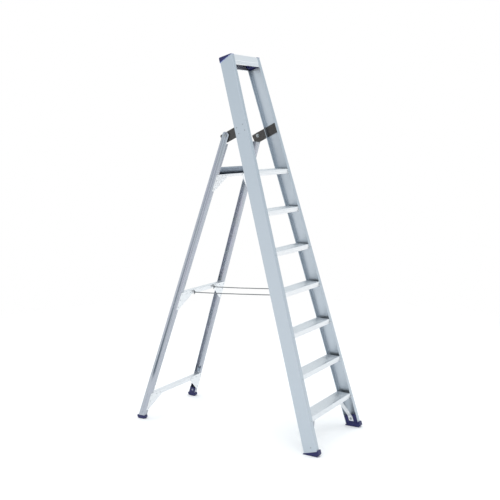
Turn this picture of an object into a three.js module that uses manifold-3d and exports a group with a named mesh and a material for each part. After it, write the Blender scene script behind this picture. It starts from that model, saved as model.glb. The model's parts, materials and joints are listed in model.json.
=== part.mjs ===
// Swing-back step ladder with a high handrail, in millimetres, +Z up, climbed from the -Y side.
// The front frame leans back and carries seven treads; the rear frame hangs from two hinge plates.
import * as THREE from 'three';
import { mergeVertices } from 'three/addons/utils/BufferGeometryUtils.js';
import Module from 'manifold-3d';

const wasm = await Module();
wasm.setup();

// Driving dimensions
const FRONT_LEAN = THREE.MathUtils.degToRad(16.25);
const REAR_LEAN = THREE.MathUtils.degToRad(18.2);
const GAP = 0.3;                 // clearance between touching pieces

const STILE = { depth: 90, flange: 31, web: 2.6, wall: 3, foot: 33, topFront: 2460, topRear: 2432 };
const STILE_LINE = { base: 315, slope: 0.0595 };   // outer half width of the front frame along its slope
const LEG = { depth: 46, flange: 25, web: 2.4, wall: 2.4, cutHeight: 22, past: 22 };
const LEG_LINE = { base: 305, slope: 0.0523 };     // outer half width of the rear frame along its slope

const TREAD = { count: 7, firstTop: 222, pitch: 240, depth: 96, height: 32, wall: 2, setBack: 9 };
const BRACKET = { wall: 3, height: 22, tongue: 35, tongueInset: 10, webGap: 0.5 };
const RAIL = { bottom: 2400, height: 62, depth: 88, wall: 2.5, lip: 8, stepUp: 22, step: 1.5 };
const CAP = { plug: 2405, lug: 30, crown: 2466, proud: 2, bevel: 3 };   // the crown is its highest slope
const FRONT_BOOT = { toe: 9, heel: 97, side: 2, inner: 34, plugTop: 88, lip: 37 };
const REAR_BOOT = { toe: 5, heel: 9, side: 2.5, inner: 28, plugTop: 50, panelTop: 57 };
const BRACE = { width: 30, thick: 3, tabTop: 84, tabFoot: 50, reach: 112, topTab: 34, depthMid: 45 };

const HINGE = { d: 160, s: 1995 };                 // pivot in the front frame's depth and slope
const PLATE = { front: 150, rear: 40, above: 20, below: 42, thick: 5, corner: 5 };   // reach from the pivot
const PLATE_TILT = THREE.MathUtils.degToRad(9.5);  // the plate falls to the rear against the stile's depth
const PLATE_CHAMFER = { back: 30, up: 20 };        // cut off its lower rear corner
const PLATE_SLOT = { side: 0.3, end: 3 };          // clearance in the stile's rear flange
const NOTCH = 46;                                  // leg flanges end this far below the pivot
const BOLT = { r: 5, hole: 5.3, headR: 9.5, head: 5, washerR: 12, washer: 2, nutR: 9, nut: 8 };
const BOLT_SIDES = 24;

const TOP_MEMBER = { bottom: 1700, height: 57, depth: 26, wall: 2.2, lip: 18 };
const MID_MEMBER = { bottom: 889, height: 30, depth: 20, wall: 2.2 };
const LOW_MEMBER = { bottom: 155, height: 34, depth: 20, wall: 2.2 };
const GUSSET = { across: 128, drop: 92, nose: 12, thick: 2.2 };

const CORD = { r: 3, sides: 8, x: 115, knotR: 9, knotSides: 12 };
const CORD_KNOTS = { front: [-318, 900], rear: [336.7, 855.6] };   // run back and height
const CORD_ROUTE = [
  [-314, 899.6], [-266, 895.5], [-224, 892.5], [-182, 889], [-140, 886], [-98, 883], [-56, 880],
  [-14, 876.5], [26, 874], [64, 871.5], [102, 868.5], [140, 866], [178, 864], [216, 861.5],
  [254, 859.5], [292, 857.5], [327, 856],
];
const CORD_MIDDLE = 8;           // the route point where the two halves meet

// Finishes
const finish = (color, roughness, metalness) => new THREE.MeshStandardMaterial({ color, roughness, metalness });
const MILL_ALUMINIUM = () => finish(0xb9c1c8, 0.45, 0.9);
const BRIGHT_ALUMINIUM = () => finish(0xe3e5e7, 0.38, 0.9);
const DARK_STEEL = () => finish(0x4b4e50, 0.5, 0.7);
const ZINC_STEEL = () => finish(0xc9c9c4, 0.3, 0.9);
const NAVY_PLASTIC = () => finish(0x1c2258, 0.45, 0);
const GREY_CORD = () => finish(0x6b6f73, 0.8, 0);

// Solids
function solid(geometry) {
  geometry.deleteAttribute('normal');
  geometry.deleteAttribute('uv');
  const merged = mergeVertices(geometry);
  const vertProperties = new Float32Array(merged.attributes.position.array);
  const triVerts = new Uint32Array(merged.index.array);
  return new wasm.Manifold(new wasm.Mesh({ numProp: 3, vertProperties, triVerts }));
}

function geometryOf(manifold) {
  const { vertProperties, triVerts } = manifold.getMesh();
  const geometry = new THREE.BufferGeometry();
  geometry.setAttribute('position', new THREE.BufferAttribute(vertProperties, 3));
  geometry.setIndex(new THREE.BufferAttribute(triVerts, 1));
  return geometry;
}

const joined = (first, ...rest) => geometryOf(rest.reduce((sum, next) => sum.add(solid(next)), solid(first)));
const cut = (first, ...rest) => geometryOf(rest.reduce((sum, next) => sum.subtract(solid(next)), solid(first)));

function outline(points) {
  return new THREE.Shape(points.map(([x, y]) => new THREE.Vector2(x, y)));
}

function roundedRectangle(Path, left, bottom, right, top, radius) {
  const path = new Path();
  path.moveTo(left + radius, bottom);
  path.lineTo(right - radius, bottom);
  path.absarc(right - radius, bottom + radius, radius, -Math.PI / 2, 0, false);
  path.lineTo(right, top - radius);
  path.absarc(right - radius, top - radius, radius, 0, Math.PI / 2, false);
  path.lineTo(left + radius, top);
  path.absarc(left + radius, top - radius, radius, Math.PI / 2, Math.PI, false);
  path.lineTo(left, bottom + radius);
  path.absarc(left + radius, bottom + radius, radius, Math.PI, Math.PI * 1.5, false);
  return path;
}

function extruded(shape, length) {
  return new THREE.ExtrudeGeometry(shape, { depth: length, bevelEnabled: false, curveSegments: 4 });
}

// A section in (inset, depth) run along the slope.
function alongSlope(points, from, to) {
  return extruded(outline(points), to - from).translate(0, 0, from);
}

// A section in (depth, slope) run across the frame.
function across(shape, from, to) {
  const turn = new THREE.Matrix4().set(0, 0, 1, 0, 1, 0, 0, 0, 0, 1, 0, 0, 0, 0, 0, 1);
  return extruded(shape, to - from).applyMatrix4(turn).translate(from, 0, 0);
}

// A plate drawn in (inset, slope), its faces at two depths.
function plate(points, front, rear) {
  return extruded(outline(points), rear - front).rotateX(Math.PI / 2).translate(0, rear, 0);
}

function box(low, high) {
  const size = high.map((value, axis) => value - low[axis]);
  const centre = high.map((value, axis) => (value + low[axis]) / 2);
  return new THREE.BoxGeometry(...size).translate(...centre);
}

const halfWidth = (line, slope) => line.base - line.slope * slope;

// Moves a solid from (inset, depth, slope) to one side of a frame, following its splay.
function onSide(geometry, side, line) {
  const moved = geometry.index ? geometry.toNonIndexed() : geometry.clone();
  const position = moved.attributes.position;
  for (let i = 0; i < position.count; i += 1) {
    position.setX(i, side * (halfWidth(line, position.getZ(i)) - position.getX(i)));
  }
  if (side > 0) flipFaces(position);
  return moved;
}

function flipFaces(position) {
  const corner = new THREE.Vector3();
  for (let i = 0; i < position.count; i += 3) {
    corner.fromBufferAttribute(position, i + 1);
    position.setXYZ(i + 1, position.getX(i + 2), position.getY(i + 2), position.getZ(i + 2));
    position.setXYZ(i + 2, corner.x, corner.y, corner.z);
  }
}

// Slides the two ends of a crosswise piece out to a fixed inset from the frame's outer faces.
function betweenSides(geometry, line, inset) {
  const position = geometry.attributes.position;
  for (let i = 0; i < position.count; i += 1) {
    const reach = halfWidth(line, position.getZ(i)) - inset;
    position.setX(i, Math.sign(position.getX(i)) * reach);
  }
  return geometry;
}

function part(name, geometry, material) {
  const mesh = new THREE.Mesh(geometry, material);
  mesh.name = name;
  return mesh;
}

const SIDES = [['left', -1], ['right', 1]];
const plateInset = STILE.web + 0.5;

// A level point of the front frame, given by its run back and its height, in (depth, slope).
function levelPoint(run, height) {
  const depth = run * Math.cos(FRONT_LEAN) - height * Math.sin(FRONT_LEAN);
  const slope = run * Math.sin(FRONT_LEAN) + height * Math.cos(FRONT_LEAN);
  return [depth, slope];
}

const slopeAtHeight = (depth, height) => (height + depth * Math.sin(FRONT_LEAN)) / Math.cos(FRONT_LEAN);
const legSlopeAtHeight = (depth, height) => (height - depth * Math.sin(REAR_LEAN)) / Math.cos(REAR_LEAN);

// Front frame
function channel(size) {
  const { depth, flange, web, wall } = size;
  return [[0, 0], [flange, 0], [flange, wall], [web, wall], [web, depth - wall],
    [flange, depth - wall], [flange, depth], [0, depth]];
}

// The stile's top is cut on a slant that falls to the rear.
const stileTop = (depth) => STILE.topFront + ((STILE.topRear - STILE.topFront) * depth) / STILE.depth;

// Brings every point near the highest slope of a piece onto the stile's top cut.
function slantTop(geometry, highest, lift) {
  const position = geometry.attributes.position;
  for (let i = 0; i < position.count; i += 1) {
    if (position.getZ(i) > highest - 1) position.setZ(i, stileTop(position.getY(i)) + lift);
  }
  return geometry;
}

// One wall of a stile, from its lowest to its highest inset and depth. A stile is drawn as three
// walls, so that its channel stays open on the inside.
function stileWall([inset, depth], [insetEnd, depthEnd]) {
  const section = [[inset, depth], [insetEnd, depth], [insetEnd, depthEnd], [inset, depthEnd]];
  return slantTop(alongSlope(section, STILE.foot, STILE.topFront), STILE.topFront, 0);
}

function stileWeb() {
  return stileWall([0, 0], [STILE.web, STILE.depth]);
}

function stileFrontFlange() {
  return stileWall([STILE.web + GAP, 0], [STILE.flange, STILE.wall]);
}

function stileRearFlange() {
  const flange = stileWall([STILE.web + GAP, STILE.depth - STILE.wall], [STILE.flange, STILE.depth]);
  const centre = HINGE.s + (HINGE.d - STILE.depth) * Math.tan(PLATE_TILT);
  const low = centre - PLATE.below / Math.cos(PLATE_TILT) - PLATE_SLOT.end;
  const high = centre + PLATE.above / Math.cos(PLATE_TILT) + PLATE_SLOT.end;
  const slot = box(
    [plateInset - PLATE_SLOT.side, STILE.depth - STILE.wall - 1, low],
    [plateInset + PLATE.thick + PLATE_SLOT.side, STILE.depth + 1, high],
  );
  return cut(flange, slot);
}

const treadTop = (index) => TREAD.firstTop + TREAD.pitch * (index - 1);

function treadFront(index) {
  const bottom = treadTop(index) - TREAD.height;
  return (TREAD.setBack + bottom * Math.sin(FRONT_LEAN)) / Math.cos(FRONT_LEAN);
}

function leanShape(shape, run, height) {
  const moved = (point) => new THREE.Vector2(...levelPoint(point.x + run, point.y + height));
  const { shape: outer, holes } = shape.extractPoints(4);
  const result = new THREE.Shape(outer.map(moved));
  result.holes = holes.map((hole) => new THREE.Path(hole.map(moved)));
  return result;
}

function tread(index) {
  const shape = roundedRectangle(THREE.Shape, 0, 0, TREAD.depth, TREAD.height, 5);
  const inner = TREAD.wall;
  shape.holes.push(
    roundedRectangle(THREE.Path, inner, inner, TREAD.depth - inner, TREAD.height - inner, 3),
  );
  const bottom = treadTop(index) - TREAD.height;
  const section = leanShape(shape, treadFront(index), bottom);
  return betweenSides(across(section, -1, 1), STILE_LINE, STILE.flange + GAP);
}

// A pressed cleat: a trough between the stile's flanges, with a tongue inside the tread.
function treadBracket(index) {
  const floorHeight = treadTop(index) - TREAD.height + TREAD.wall + GAP;
  const front = STILE.wall + GAP;
  const rear = STILE.depth - STILE.wall - GAP;
  const wall = BRACKET.wall;
  const at = (depth, height) => [depth, slopeAtHeight(depth, floorHeight + height)];
  const trough = outline([
    at(front, 0), at(rear, 0), at(rear, BRACKET.height), at(rear - wall, BRACKET.height),
    at(rear - wall, wall), at(front + wall, wall), at(front + wall, BRACKET.height),
    at(front, BRACKET.height),
  ]);
  const tongueFront = treadFront(index) + BRACKET.tongueInset;
  const tongueRear = treadFront(index) + TREAD.depth - BRACKET.tongueInset - 6;
  const tongue = outline([
    levelPoint(tongueFront, floorHeight), levelPoint(tongueRear, floorHeight),
    levelPoint(tongueRear, floorHeight + wall), levelPoint(tongueFront, floorHeight + wall),
  ]);
  return joined(
    across(trough, STILE.web + BRACKET.webGap, STILE.flange - GAP),
    across(tongue, STILE.flange - 4, STILE.flange + BRACKET.tongue),
  );
}

// An inverted channel, its front face stepped and its lower edges turned in.
function topRail() {
  const { bottom, height, depth, wall, lip, stepUp, step } = RAIL;
  const top = bottom + height;
  const shape = outline([
    [step, bottom], [step + lip, bottom], [step + lip, bottom + wall], [step + wall, bottom + wall],
    [step + wall, top - wall], [depth - wall, top - wall], [depth - wall, bottom + wall],
    [depth - lip, bottom + wall], [depth - lip, bottom], [depth, bottom], [depth, top], [0, top],
    [0, bottom + stepUp + step], [step, bottom + stepUp],
  ]);
  return betweenSides(across(shape, -1, 1), STILE_LINE, STILE.flange + GAP);
}

// A wedge over the slanted end of the stile, with a plug inside the stile and a lug inside the rail.
function topCap() {
  const front = STILE.wall + GAP;
  const rear = STILE.depth - STILE.wall - GAP;
  const { crown, proud, bevel } = CAP;
  const seat = (depth) => [depth, stileTop(depth) + GAP];
  const plug = slantTop(
    box([STILE.web + GAP, front, CAP.plug], [STILE.flange - 1, rear, STILE.topFront]),
    STILE.topFront,
    bevel,
  );
  const head = outline([
    seat(-1), seat(STILE.depth + 1), seat(STILE.depth + proud),
    [STILE.depth + proud, crown - bevel], [STILE.depth - bevel, crown], [proud, crown - 2],
    [-1, crown - 4],
  ]);
  const lug = box(
    [STILE.flange - 2, 12, CAP.plug + 4],
    [STILE.flange + CAP.lug, RAIL.depth - 12, RAIL.bottom + RAIL.height - RAIL.wall - 3],
  );
  return joined(plug, across(head, -1, STILE.flange - 1), lug);
}

function frontBoot() {
  const { toe, heel, side, inner, plugTop, lip } = FRONT_BOOT;
  const seat = STILE.foot - GAP;
  const floor = (depth) => [depth, slopeAtHeight(depth, 0)];
  const sole = outline([
    [-toe, lip], [-GAP, lip], [-GAP, seat], [heel - 3, seat], [heel, seat - 3],
    floor(heel - 1), floor(6), [-toe + 2, 9], [-toe, 14],
  ]);
  const plug = box(
    [STILE.web + GAP, STILE.wall + GAP, seat - 4],
    [STILE.flange - 2, STILE.depth - STILE.wall - GAP, plugTop],
  );
  return joined(across(sole, -side, inner), plug);
}

// A flat strap from the lowest tread's underside down to the boot's plug.
function footBrace() {
  const { width, thick, tabTop, tabFoot, reach, topTab, depthMid } = BRACE;
  const inset = STILE.flange - 2 + GAP;
  const underside = slopeAtHeight(depthMid, TREAD.firstTop - TREAD.height) - GAP * 2;
  const strap = plate([
    [inset, tabFoot], [inset + thick, tabFoot], [inset + thick, tabTop - 1],
    [reach + 1, underside - thick], [reach + topTab, underside - thick],
    [reach + topTab, underside], [reach, underside], [inset, tabTop],
  ], depthMid - width / 2, depthMid + width / 2);
  const position = strap.attributes.position;
  for (let i = 0; i < position.count; i += 1) {
    const rise = (position.getY(i) - depthMid) * Math.tan(FRONT_LEAN);
    position.setZ(i, position.getZ(i) + rise);
  }
  return strap;
}

// A steel plate riveted inside the stile's web, run back and down through the rear flange to the pivot.
function hingePlate() {
  const { front, rear, above, below, corner } = PLATE;
  const at = (back, up) => [
    HINGE.d + back * Math.cos(PLATE_TILT) + up * Math.sin(PLATE_TILT),
    HINGE.s + up * Math.cos(PLATE_TILT) - back * Math.sin(PLATE_TILT),
  ];
  const shape = outline([
    at(corner - front, -below), at(rear - PLATE_CHAMFER.back, -below), at(rear, PLATE_CHAMFER.up - below),
    at(rear, above - corner), at(rear - corner, above), at(corner - front, above),
    at(-front, above - corner), at(-front, corner - below),
  ]);
  const blank = across(shape, plateInset, plateInset + PLATE.thick);
  const hole = crossCylinder(BOLT.hole, plateInset - 1, plateInset + PLATE.thick + 1);
  return cut(blank, hole.translate(0, HINGE.d, HINGE.s));
}

// A cylinder across the frame, its axis along X through the origin.
function crossCylinder(radius, from, to, sides = BOLT_SIDES) {
  const length = to - from;
  return new THREE.CylinderGeometry(radius, radius, length, sides)
    .rotateZ(Math.PI / 2)
    .translate(from + length / 2, 0, 0);
}

// Hinge hardware, drawn for the right side along X from the middle of the ladder outwards.
const hingeHalfWidth = halfWidth(STILE_LINE, HINGE.s);
const plateInner = hingeHalfWidth - plateInset - PLATE.thick - 1;

function pivotBolt(side) {
  const headStart = legHalfWidthAtHinge() + 1.2;
  const shank = crossCylinder(BOLT.r, plateInner - BOLT.nut - 3, headStart + 1);
  const head = crossCylinder(BOLT.headR, headStart, headStart + BOLT.head);
  return mirrored(joined(shank, head), side);
}

function pivotNut(side) {
  const outer = plateInner - 1;
  const hex = crossCylinder(BOLT.nutR, outer - BOLT.nut, outer - BOLT.washer, 6);
  const washer = crossCylinder(BOLT.washerR, outer - BOLT.washer - 0.5, outer);
  const bore = crossCylinder(BOLT.hole, outer - BOLT.nut - 2, outer + 2);
  const body = solid(joined(hex, washer)).subtract(solid(bore));
  return mirrored(geometryOf(body), side);
}

function mirrored(geometry, side) {
  if (side > 0) return geometry;
  const moved = geometry.toNonIndexed().scale(-1, 1, 1);
  flipFaces(moved.attributes.position);
  return moved;
}

// Rear frame
const hingeHeight = HINGE.s * Math.cos(FRONT_LEAN) - HINGE.d * Math.sin(FRONT_LEAN);
const hingeRun = HINGE.s * Math.sin(FRONT_LEAN) + HINGE.d * Math.cos(FRONT_LEAN);
const legPivot = { d: LEG.depth / 2, s: legSlopeAtHeight(LEG.depth / 2, hingeHeight) };
const rearRun = hingeRun - legPivot.d * Math.cos(REAR_LEAN) + legPivot.s * Math.sin(REAR_LEAN);

function legHalfWidthAtHinge() {
  return halfWidth(LEG_LINE, legPivot.s);
}

// A level cut through the rear frame at a height, as a slope for each depth.
function cutLevel(geometry, height) {
  const position = geometry.attributes.position;
  for (let i = 0; i < position.count; i += 1) {
    if (position.getZ(i) < 1) position.setZ(i, legSlopeAtHeight(position.getY(i), height));
  }
  return geometry;
}

function rearLeg() {
  const top = legPivot.s + LEG.past;
  const bar = cutLevel(alongSlope(channel(LEG), 0, top), LEG.cutHeight);
  const flanges = box(
    [LEG.web + 0.2, -1, legPivot.s - NOTCH],
    [LEG.flange + 1, LEG.depth + 1, top + 1],
  );
  const hole = crossCylinder(BOLT.hole, -5, LEG.web + 5).translate(0, legPivot.d, legPivot.s);
  return cut(bar, flanges, hole);
}

// A trough open to the front, its lower lip turned up.
function topMember() {
  const { bottom, height, depth, wall, lip } = TOP_MEMBER;
  const top = bottom + height;
  const shape = outline([
    [0, bottom], [depth, bottom], [depth, top], [wall, top], [wall, top - 6], [0, top - 6],
    [0, top - 6 - wall], [2 * wall, top - 6 - wall], [2 * wall, top - wall], [depth - wall, top - wall],
    [depth - wall, bottom + wall], [wall, bottom + wall], [wall, bottom + lip], [0, bottom + lip],
  ]);
  return betweenSides(across(shape, -1, 1), LEG_LINE, LEG.flange + GAP);
}

// An angle with a face to the front and both edges turned back.
function plainMember({ bottom, height, depth, wall }) {
  const top = bottom + height;
  const shape = outline([
    [0, bottom], [depth, bottom], [depth, bottom + wall], [wall, bottom + wall],
    [wall, top - wall], [depth, top - wall], [depth, top], [0, top],
  ]);
  return betweenSides(across(shape, -1, 1), LEG_LINE, LEG.flange + GAP);
}

// A corner plate on the front faces of a leg and a cross member.
function gusset(member) {
  const { across: reach, drop, nose, thick } = GUSSET;
  const top = member.gussetTop;
  const foot = member.bottom - drop;
  return plate([
    [1, top], [1, foot], [LEG.flange - 2, foot], [reach, member.bottom],
    [reach, member.bottom + nose], [reach - nose, top],
  ], -GAP - thick, -GAP);
}

// A moulded foot with a plug inside the leg and a panel that closes the leg's open side.
function rearBoot() {
  const { toe, heel, side, inner, plugTop, panelTop } = REAR_BOOT;
  const level = (run, height) => {
    const depth = run * Math.cos(REAR_LEAN) + height * Math.sin(REAR_LEAN);
    const slope = height * Math.cos(REAR_LEAN) - run * Math.sin(REAR_LEAN);
    return [depth, slope];
  };
  const runAt = (depth, height) => (depth - height * Math.sin(REAR_LEAN)) / Math.cos(REAR_LEAN);
  const seat = LEG.cutHeight - GAP;
  const front = runAt(0, seat) - toe;
  const rear = runAt(LEG.depth, seat) + heel;
  const sole = outline([
    level(front, seat), level(front, 8), level(front + 6, 0), level(rear - 12, 0),
    level(rear, 9), level(rear, seat),
  ]);
  const upright = (low, high) => cutLevel(box([...low, 0], high), seat - 4);
  const plug = upright(
    [LEG.web + GAP, LEG.wall + GAP],
    [inner - 1, LEG.depth - LEG.wall - GAP, plugTop],
  );
  const panel = upright([LEG.flange + GAP, 0], [inner, LEG.depth, panelTop]);
  return joined(across(sole, -side, inner), plug, panel);
}

// Assembly
function frontFrame() {
  const frame = new THREE.Group();
  const shapes = [
    ['stile_web', stileWeb(), MILL_ALUMINIUM],
    ['stile_front_flange', stileFrontFlange(), MILL_ALUMINIUM],
    ['stile_rear_flange', stileRearFlange(), MILL_ALUMINIUM],
    ['top_cap', topCap(), NAVY_PLASTIC],
    ['foot_front', frontBoot(), NAVY_PLASTIC],
    ['foot_brace', footBrace(), BRIGHT_ALUMINIUM],
    ['hinge_plate', hingePlate(), DARK_STEEL],
  ];
  for (const [sideName, side] of SIDES) {
    for (const [name, geometry, material] of shapes) {
      frame.add(part(`${name}_${sideName}`, onSide(geometry, side, STILE_LINE), material()));
    }
    for (let index = 1; index <= TREAD.count; index += 1) {
      const bracket = onSide(treadBracket(index), side, STILE_LINE);
      frame.add(part(`tread_bracket_${index}_${sideName}`, bracket, BRIGHT_ALUMINIUM()));
    }
    const bolt = part(`pivot_bolt_${sideName}`, pivotBolt(side), ZINC_STEEL());
    const nut = part(`pivot_nut_${sideName}`, pivotNut(side), ZINC_STEEL());
    bolt.position.set(0, HINGE.d, HINGE.s);
    nut.position.set(0, HINGE.d, HINGE.s);
    frame.add(bolt, nut);
  }
  for (let index = 1; index <= TREAD.count; index += 1) {
    frame.add(part(`tread_${index}`, tread(index), BRIGHT_ALUMINIUM()));
  }
  frame.add(part('top_rail', topRail(), BRIGHT_ALUMINIUM()));
  frame.rotation.x = -FRONT_LEAN;
  return frame;
}

function rearFrame() {
  const frame = new THREE.Group();
  const members = [
    ['top', { ...TOP_MEMBER, gussetTop: TOP_MEMBER.bottom + TOP_MEMBER.lip }],
    ['mid', { ...MID_MEMBER, gussetTop: MID_MEMBER.bottom + MID_MEMBER.height }],
    ['low', { ...LOW_MEMBER, gussetTop: LOW_MEMBER.bottom + LOW_MEMBER.height }],
  ];
  frame.add(part('cross_member_top', topMember(), BRIGHT_ALUMINIUM()));
  frame.add(part('cross_member_mid', plainMember(MID_MEMBER), BRIGHT_ALUMINIUM()));
  frame.add(part('cross_member_low', plainMember(LOW_MEMBER), BRIGHT_ALUMINIUM()));
  for (const [sideName, side] of SIDES) {
    frame.add(part(`rear_leg_${sideName}`, onSide(rearLeg(), side, LEG_LINE), MILL_ALUMINIUM()));
    frame.add(part(`foot_rear_${sideName}`, onSide(rearBoot(), side, LEG_LINE), NAVY_PLASTIC()));
    for (const [name, member] of members) {
      const corner = onSide(gusset(member), side, LEG_LINE);
      frame.add(part(`gusset_${name}_${sideName}`, corner, BRIGHT_ALUMINIUM()));
    }
  }
  frame.rotation.x = REAR_LEAN;
  frame.position.y = rearRun;
  return frame;
}

// Restraint cords, each in two halves that meet at its middle. The front half turns about its own knot.
function cordHalf(points) {
  const path = new THREE.CatmullRomCurve3(points.map(([run, height]) => new THREE.Vector3(0, run, height)));
  const section = new THREE.Shape();
  section.absarc(0, 0, CORD.r, 0, Math.PI * 2, false);
  const steps = Math.round(path.getLength() / (CORD.r * 5));
  return new THREE.ExtrudeGeometry(section, { steps, extrudePath: path, curveSegments: CORD.sides / 2 });
}

function knot([run, height]) {
  const bead = new THREE.SphereGeometry(CORD.knotR, CORD.knotSides, CORD.knotSides / 2);
  return bead.translate(0, run, height);
}

function cords() {
  const group = new THREE.Group();
  const front = CORD_ROUTE.slice(0, CORD_MIDDLE + 1);
  const [middle, ...rear] = CORD_ROUTE.slice(CORD_MIDDLE);
  rear.unshift([middle[0] + GAP, middle[1]]);
  for (const [sideName, side] of SIDES) {
    const pieces = [
      ['cord_front_half', joined(cordHalf(front), knot(CORD_KNOTS.front))],
      ['cord_rear_half', cordHalf(rear)],
      ['cord_knot_rear', knot(CORD_KNOTS.rear)],
    ];
    for (const [name, geometry] of pieces) {
      const piece = part(`${name}_${sideName}`, geometry, GREY_CORD());
      piece.position.x = side * CORD.x;
      group.add(piece);
    }
  }
  return group;
}

const ladder = new THREE.Group();
const frames = new THREE.Group();
frames.add(frontFrame(), rearFrame());
frames.updateMatrixWorld(true);
const bounds = new THREE.Box3().setFromObject(frames, true);
frames.position.y = -(bounds.min.y + bounds.max.y) / 2;   // the origin is under the middle of the footprint
ladder.add(frames, cords());
ladder.updateMatrixWorld(true);

export default ladder;
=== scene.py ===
"""Swing-back step ladder with a high handrail: its looks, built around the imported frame, in metres.

The front frame leans back and carries seven box treads between two channel stiles. The rear frame
hangs from two steel plates, and two braided cords keep the frames from spreading.
"""
import json
import logging
import math
from dataclasses import dataclass, field
from enum import Enum
from typing import Callable, Optional, Sequence

import bmesh
import bpy
from mathutils import Matrix, Vector


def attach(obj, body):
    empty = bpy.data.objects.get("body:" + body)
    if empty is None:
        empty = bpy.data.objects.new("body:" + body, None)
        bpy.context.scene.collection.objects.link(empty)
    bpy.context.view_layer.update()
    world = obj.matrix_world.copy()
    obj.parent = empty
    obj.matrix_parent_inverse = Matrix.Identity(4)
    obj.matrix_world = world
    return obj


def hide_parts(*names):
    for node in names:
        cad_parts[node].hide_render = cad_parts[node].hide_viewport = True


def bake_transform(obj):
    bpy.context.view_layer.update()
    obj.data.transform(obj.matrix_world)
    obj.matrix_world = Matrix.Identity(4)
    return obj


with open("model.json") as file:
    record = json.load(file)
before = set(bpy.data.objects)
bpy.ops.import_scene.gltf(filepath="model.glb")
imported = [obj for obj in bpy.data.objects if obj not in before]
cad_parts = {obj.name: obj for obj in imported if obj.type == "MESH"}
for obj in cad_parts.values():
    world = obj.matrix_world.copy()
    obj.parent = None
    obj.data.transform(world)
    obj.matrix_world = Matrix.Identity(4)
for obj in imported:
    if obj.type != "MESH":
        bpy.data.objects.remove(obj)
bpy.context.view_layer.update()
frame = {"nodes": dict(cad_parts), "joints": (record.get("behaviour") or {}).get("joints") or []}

LOG = logging.getLogger("ladder")
MM = 0.001

Point = tuple[float, float]
Loop = list[Point]
Placer = Callable[[float, float], Vector]
Colour = tuple[float, float, float, float]


class Side(Enum):
    """The climber's left or right."""

    LEFT = -1
    RIGHT = 1

    @property
    def label(self) -> str:
        """The word that ends the names of this side's pieces."""
        return self.name.lower()


class Body(Enum):
    """The bodies that pieces ride on."""

    FRONT = "front_frame"
    REAR = "rear_frame"
    CORD_FRONT = "cord_front"
    CORD_REAR = "cord_rear"


def linear(code: str) -> Colour:
    """Turns an sRGB hex colour to a linear one.

    Args:
        code: Six hex digits.

    Returns:
        Linear red, green and blue, with alpha 1.
    """
    parts = [int(code[i:i + 2], 16) / 255 for i in (0, 2, 4)]
    red, green, blue = [p / 12.92 if p <= 0.04045 else ((p + 0.055) / 1.055) ** 2.4 for p in parts]
    return (red, green, blue, 1.0)


def grey(value: float) -> Colour:
    """Returns a linear grey."""
    return (value, value, value, 1.0)


def add_node(
    tree: bpy.types.NodeTree,
    kind: str,
    sockets: Optional[dict] = None,
    stops: Sequence[tuple[float, Colour]] = (),
    **settings: object,
) -> bpy.types.Node:
    """Adds a node to a tree, with its settings, values and links.

    Args:
        tree: The tree that the node joins.
        kind: The node's type.
        sockets: For each input's name or number, a value, or the output that feeds it.
        stops: The places and colours of a colour ramp, two or more.
        **settings: The node's own properties.

    Returns:
        The new node.
    """
    node = tree.nodes.new(kind)
    for name, value in settings.items():
        setattr(node, name, value)
    for number, (place, colour) in enumerate(stops):
        elements = node.color_ramp.elements
        element = elements[number] if number < 2 else elements.new(place)
        element.position = place
        element.color = colour
    for key, value in (sockets or {}).items():
        if isinstance(value, bpy.types.NodeSocket):
            tree.links.new(value, node.inputs[key])
        else:
            node.inputs[key].default_value = value
    return node


# Finishes


@dataclass(frozen=True)
class Finish:
    """A finish, made once and shared by its pieces."""

    name: str
    slot: str

    def paint(self, tree: bpy.types.NodeTree) -> bpy.types.Node:
        """Adds the finish's nodes.

        Args:
            tree: An empty material tree.

        Returns:
            The shader node.
        """
        raise NotImplementedError

    def lay(self, tree: bpy.types.NodeTree) -> bpy.types.NodeSocket:
        """Returns each point's place on its own material: two distances across the grain, one along it."""
        return add_node(tree, "ShaderNodeAttribute", attribute_name="lay").outputs["Vector"]

    def material(self) -> bpy.types.Material:
        """Finds the material of the finish's name, or makes it where there is none.

        Returns:
            The material, which is the frame's own where the frame has one of that name.
        """
        found = bpy.data.materials.get(self.name)
        if found:
            return found
        made = bpy.data.materials.new(self.name)
        made.use_nodes = True
        made.node_tree.nodes.clear()
        shader = self.paint(made.node_tree)
        add_node(made.node_tree, "ShaderNodeOutputMaterial", {"Surface": shader.outputs[0]})
        return made


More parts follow.
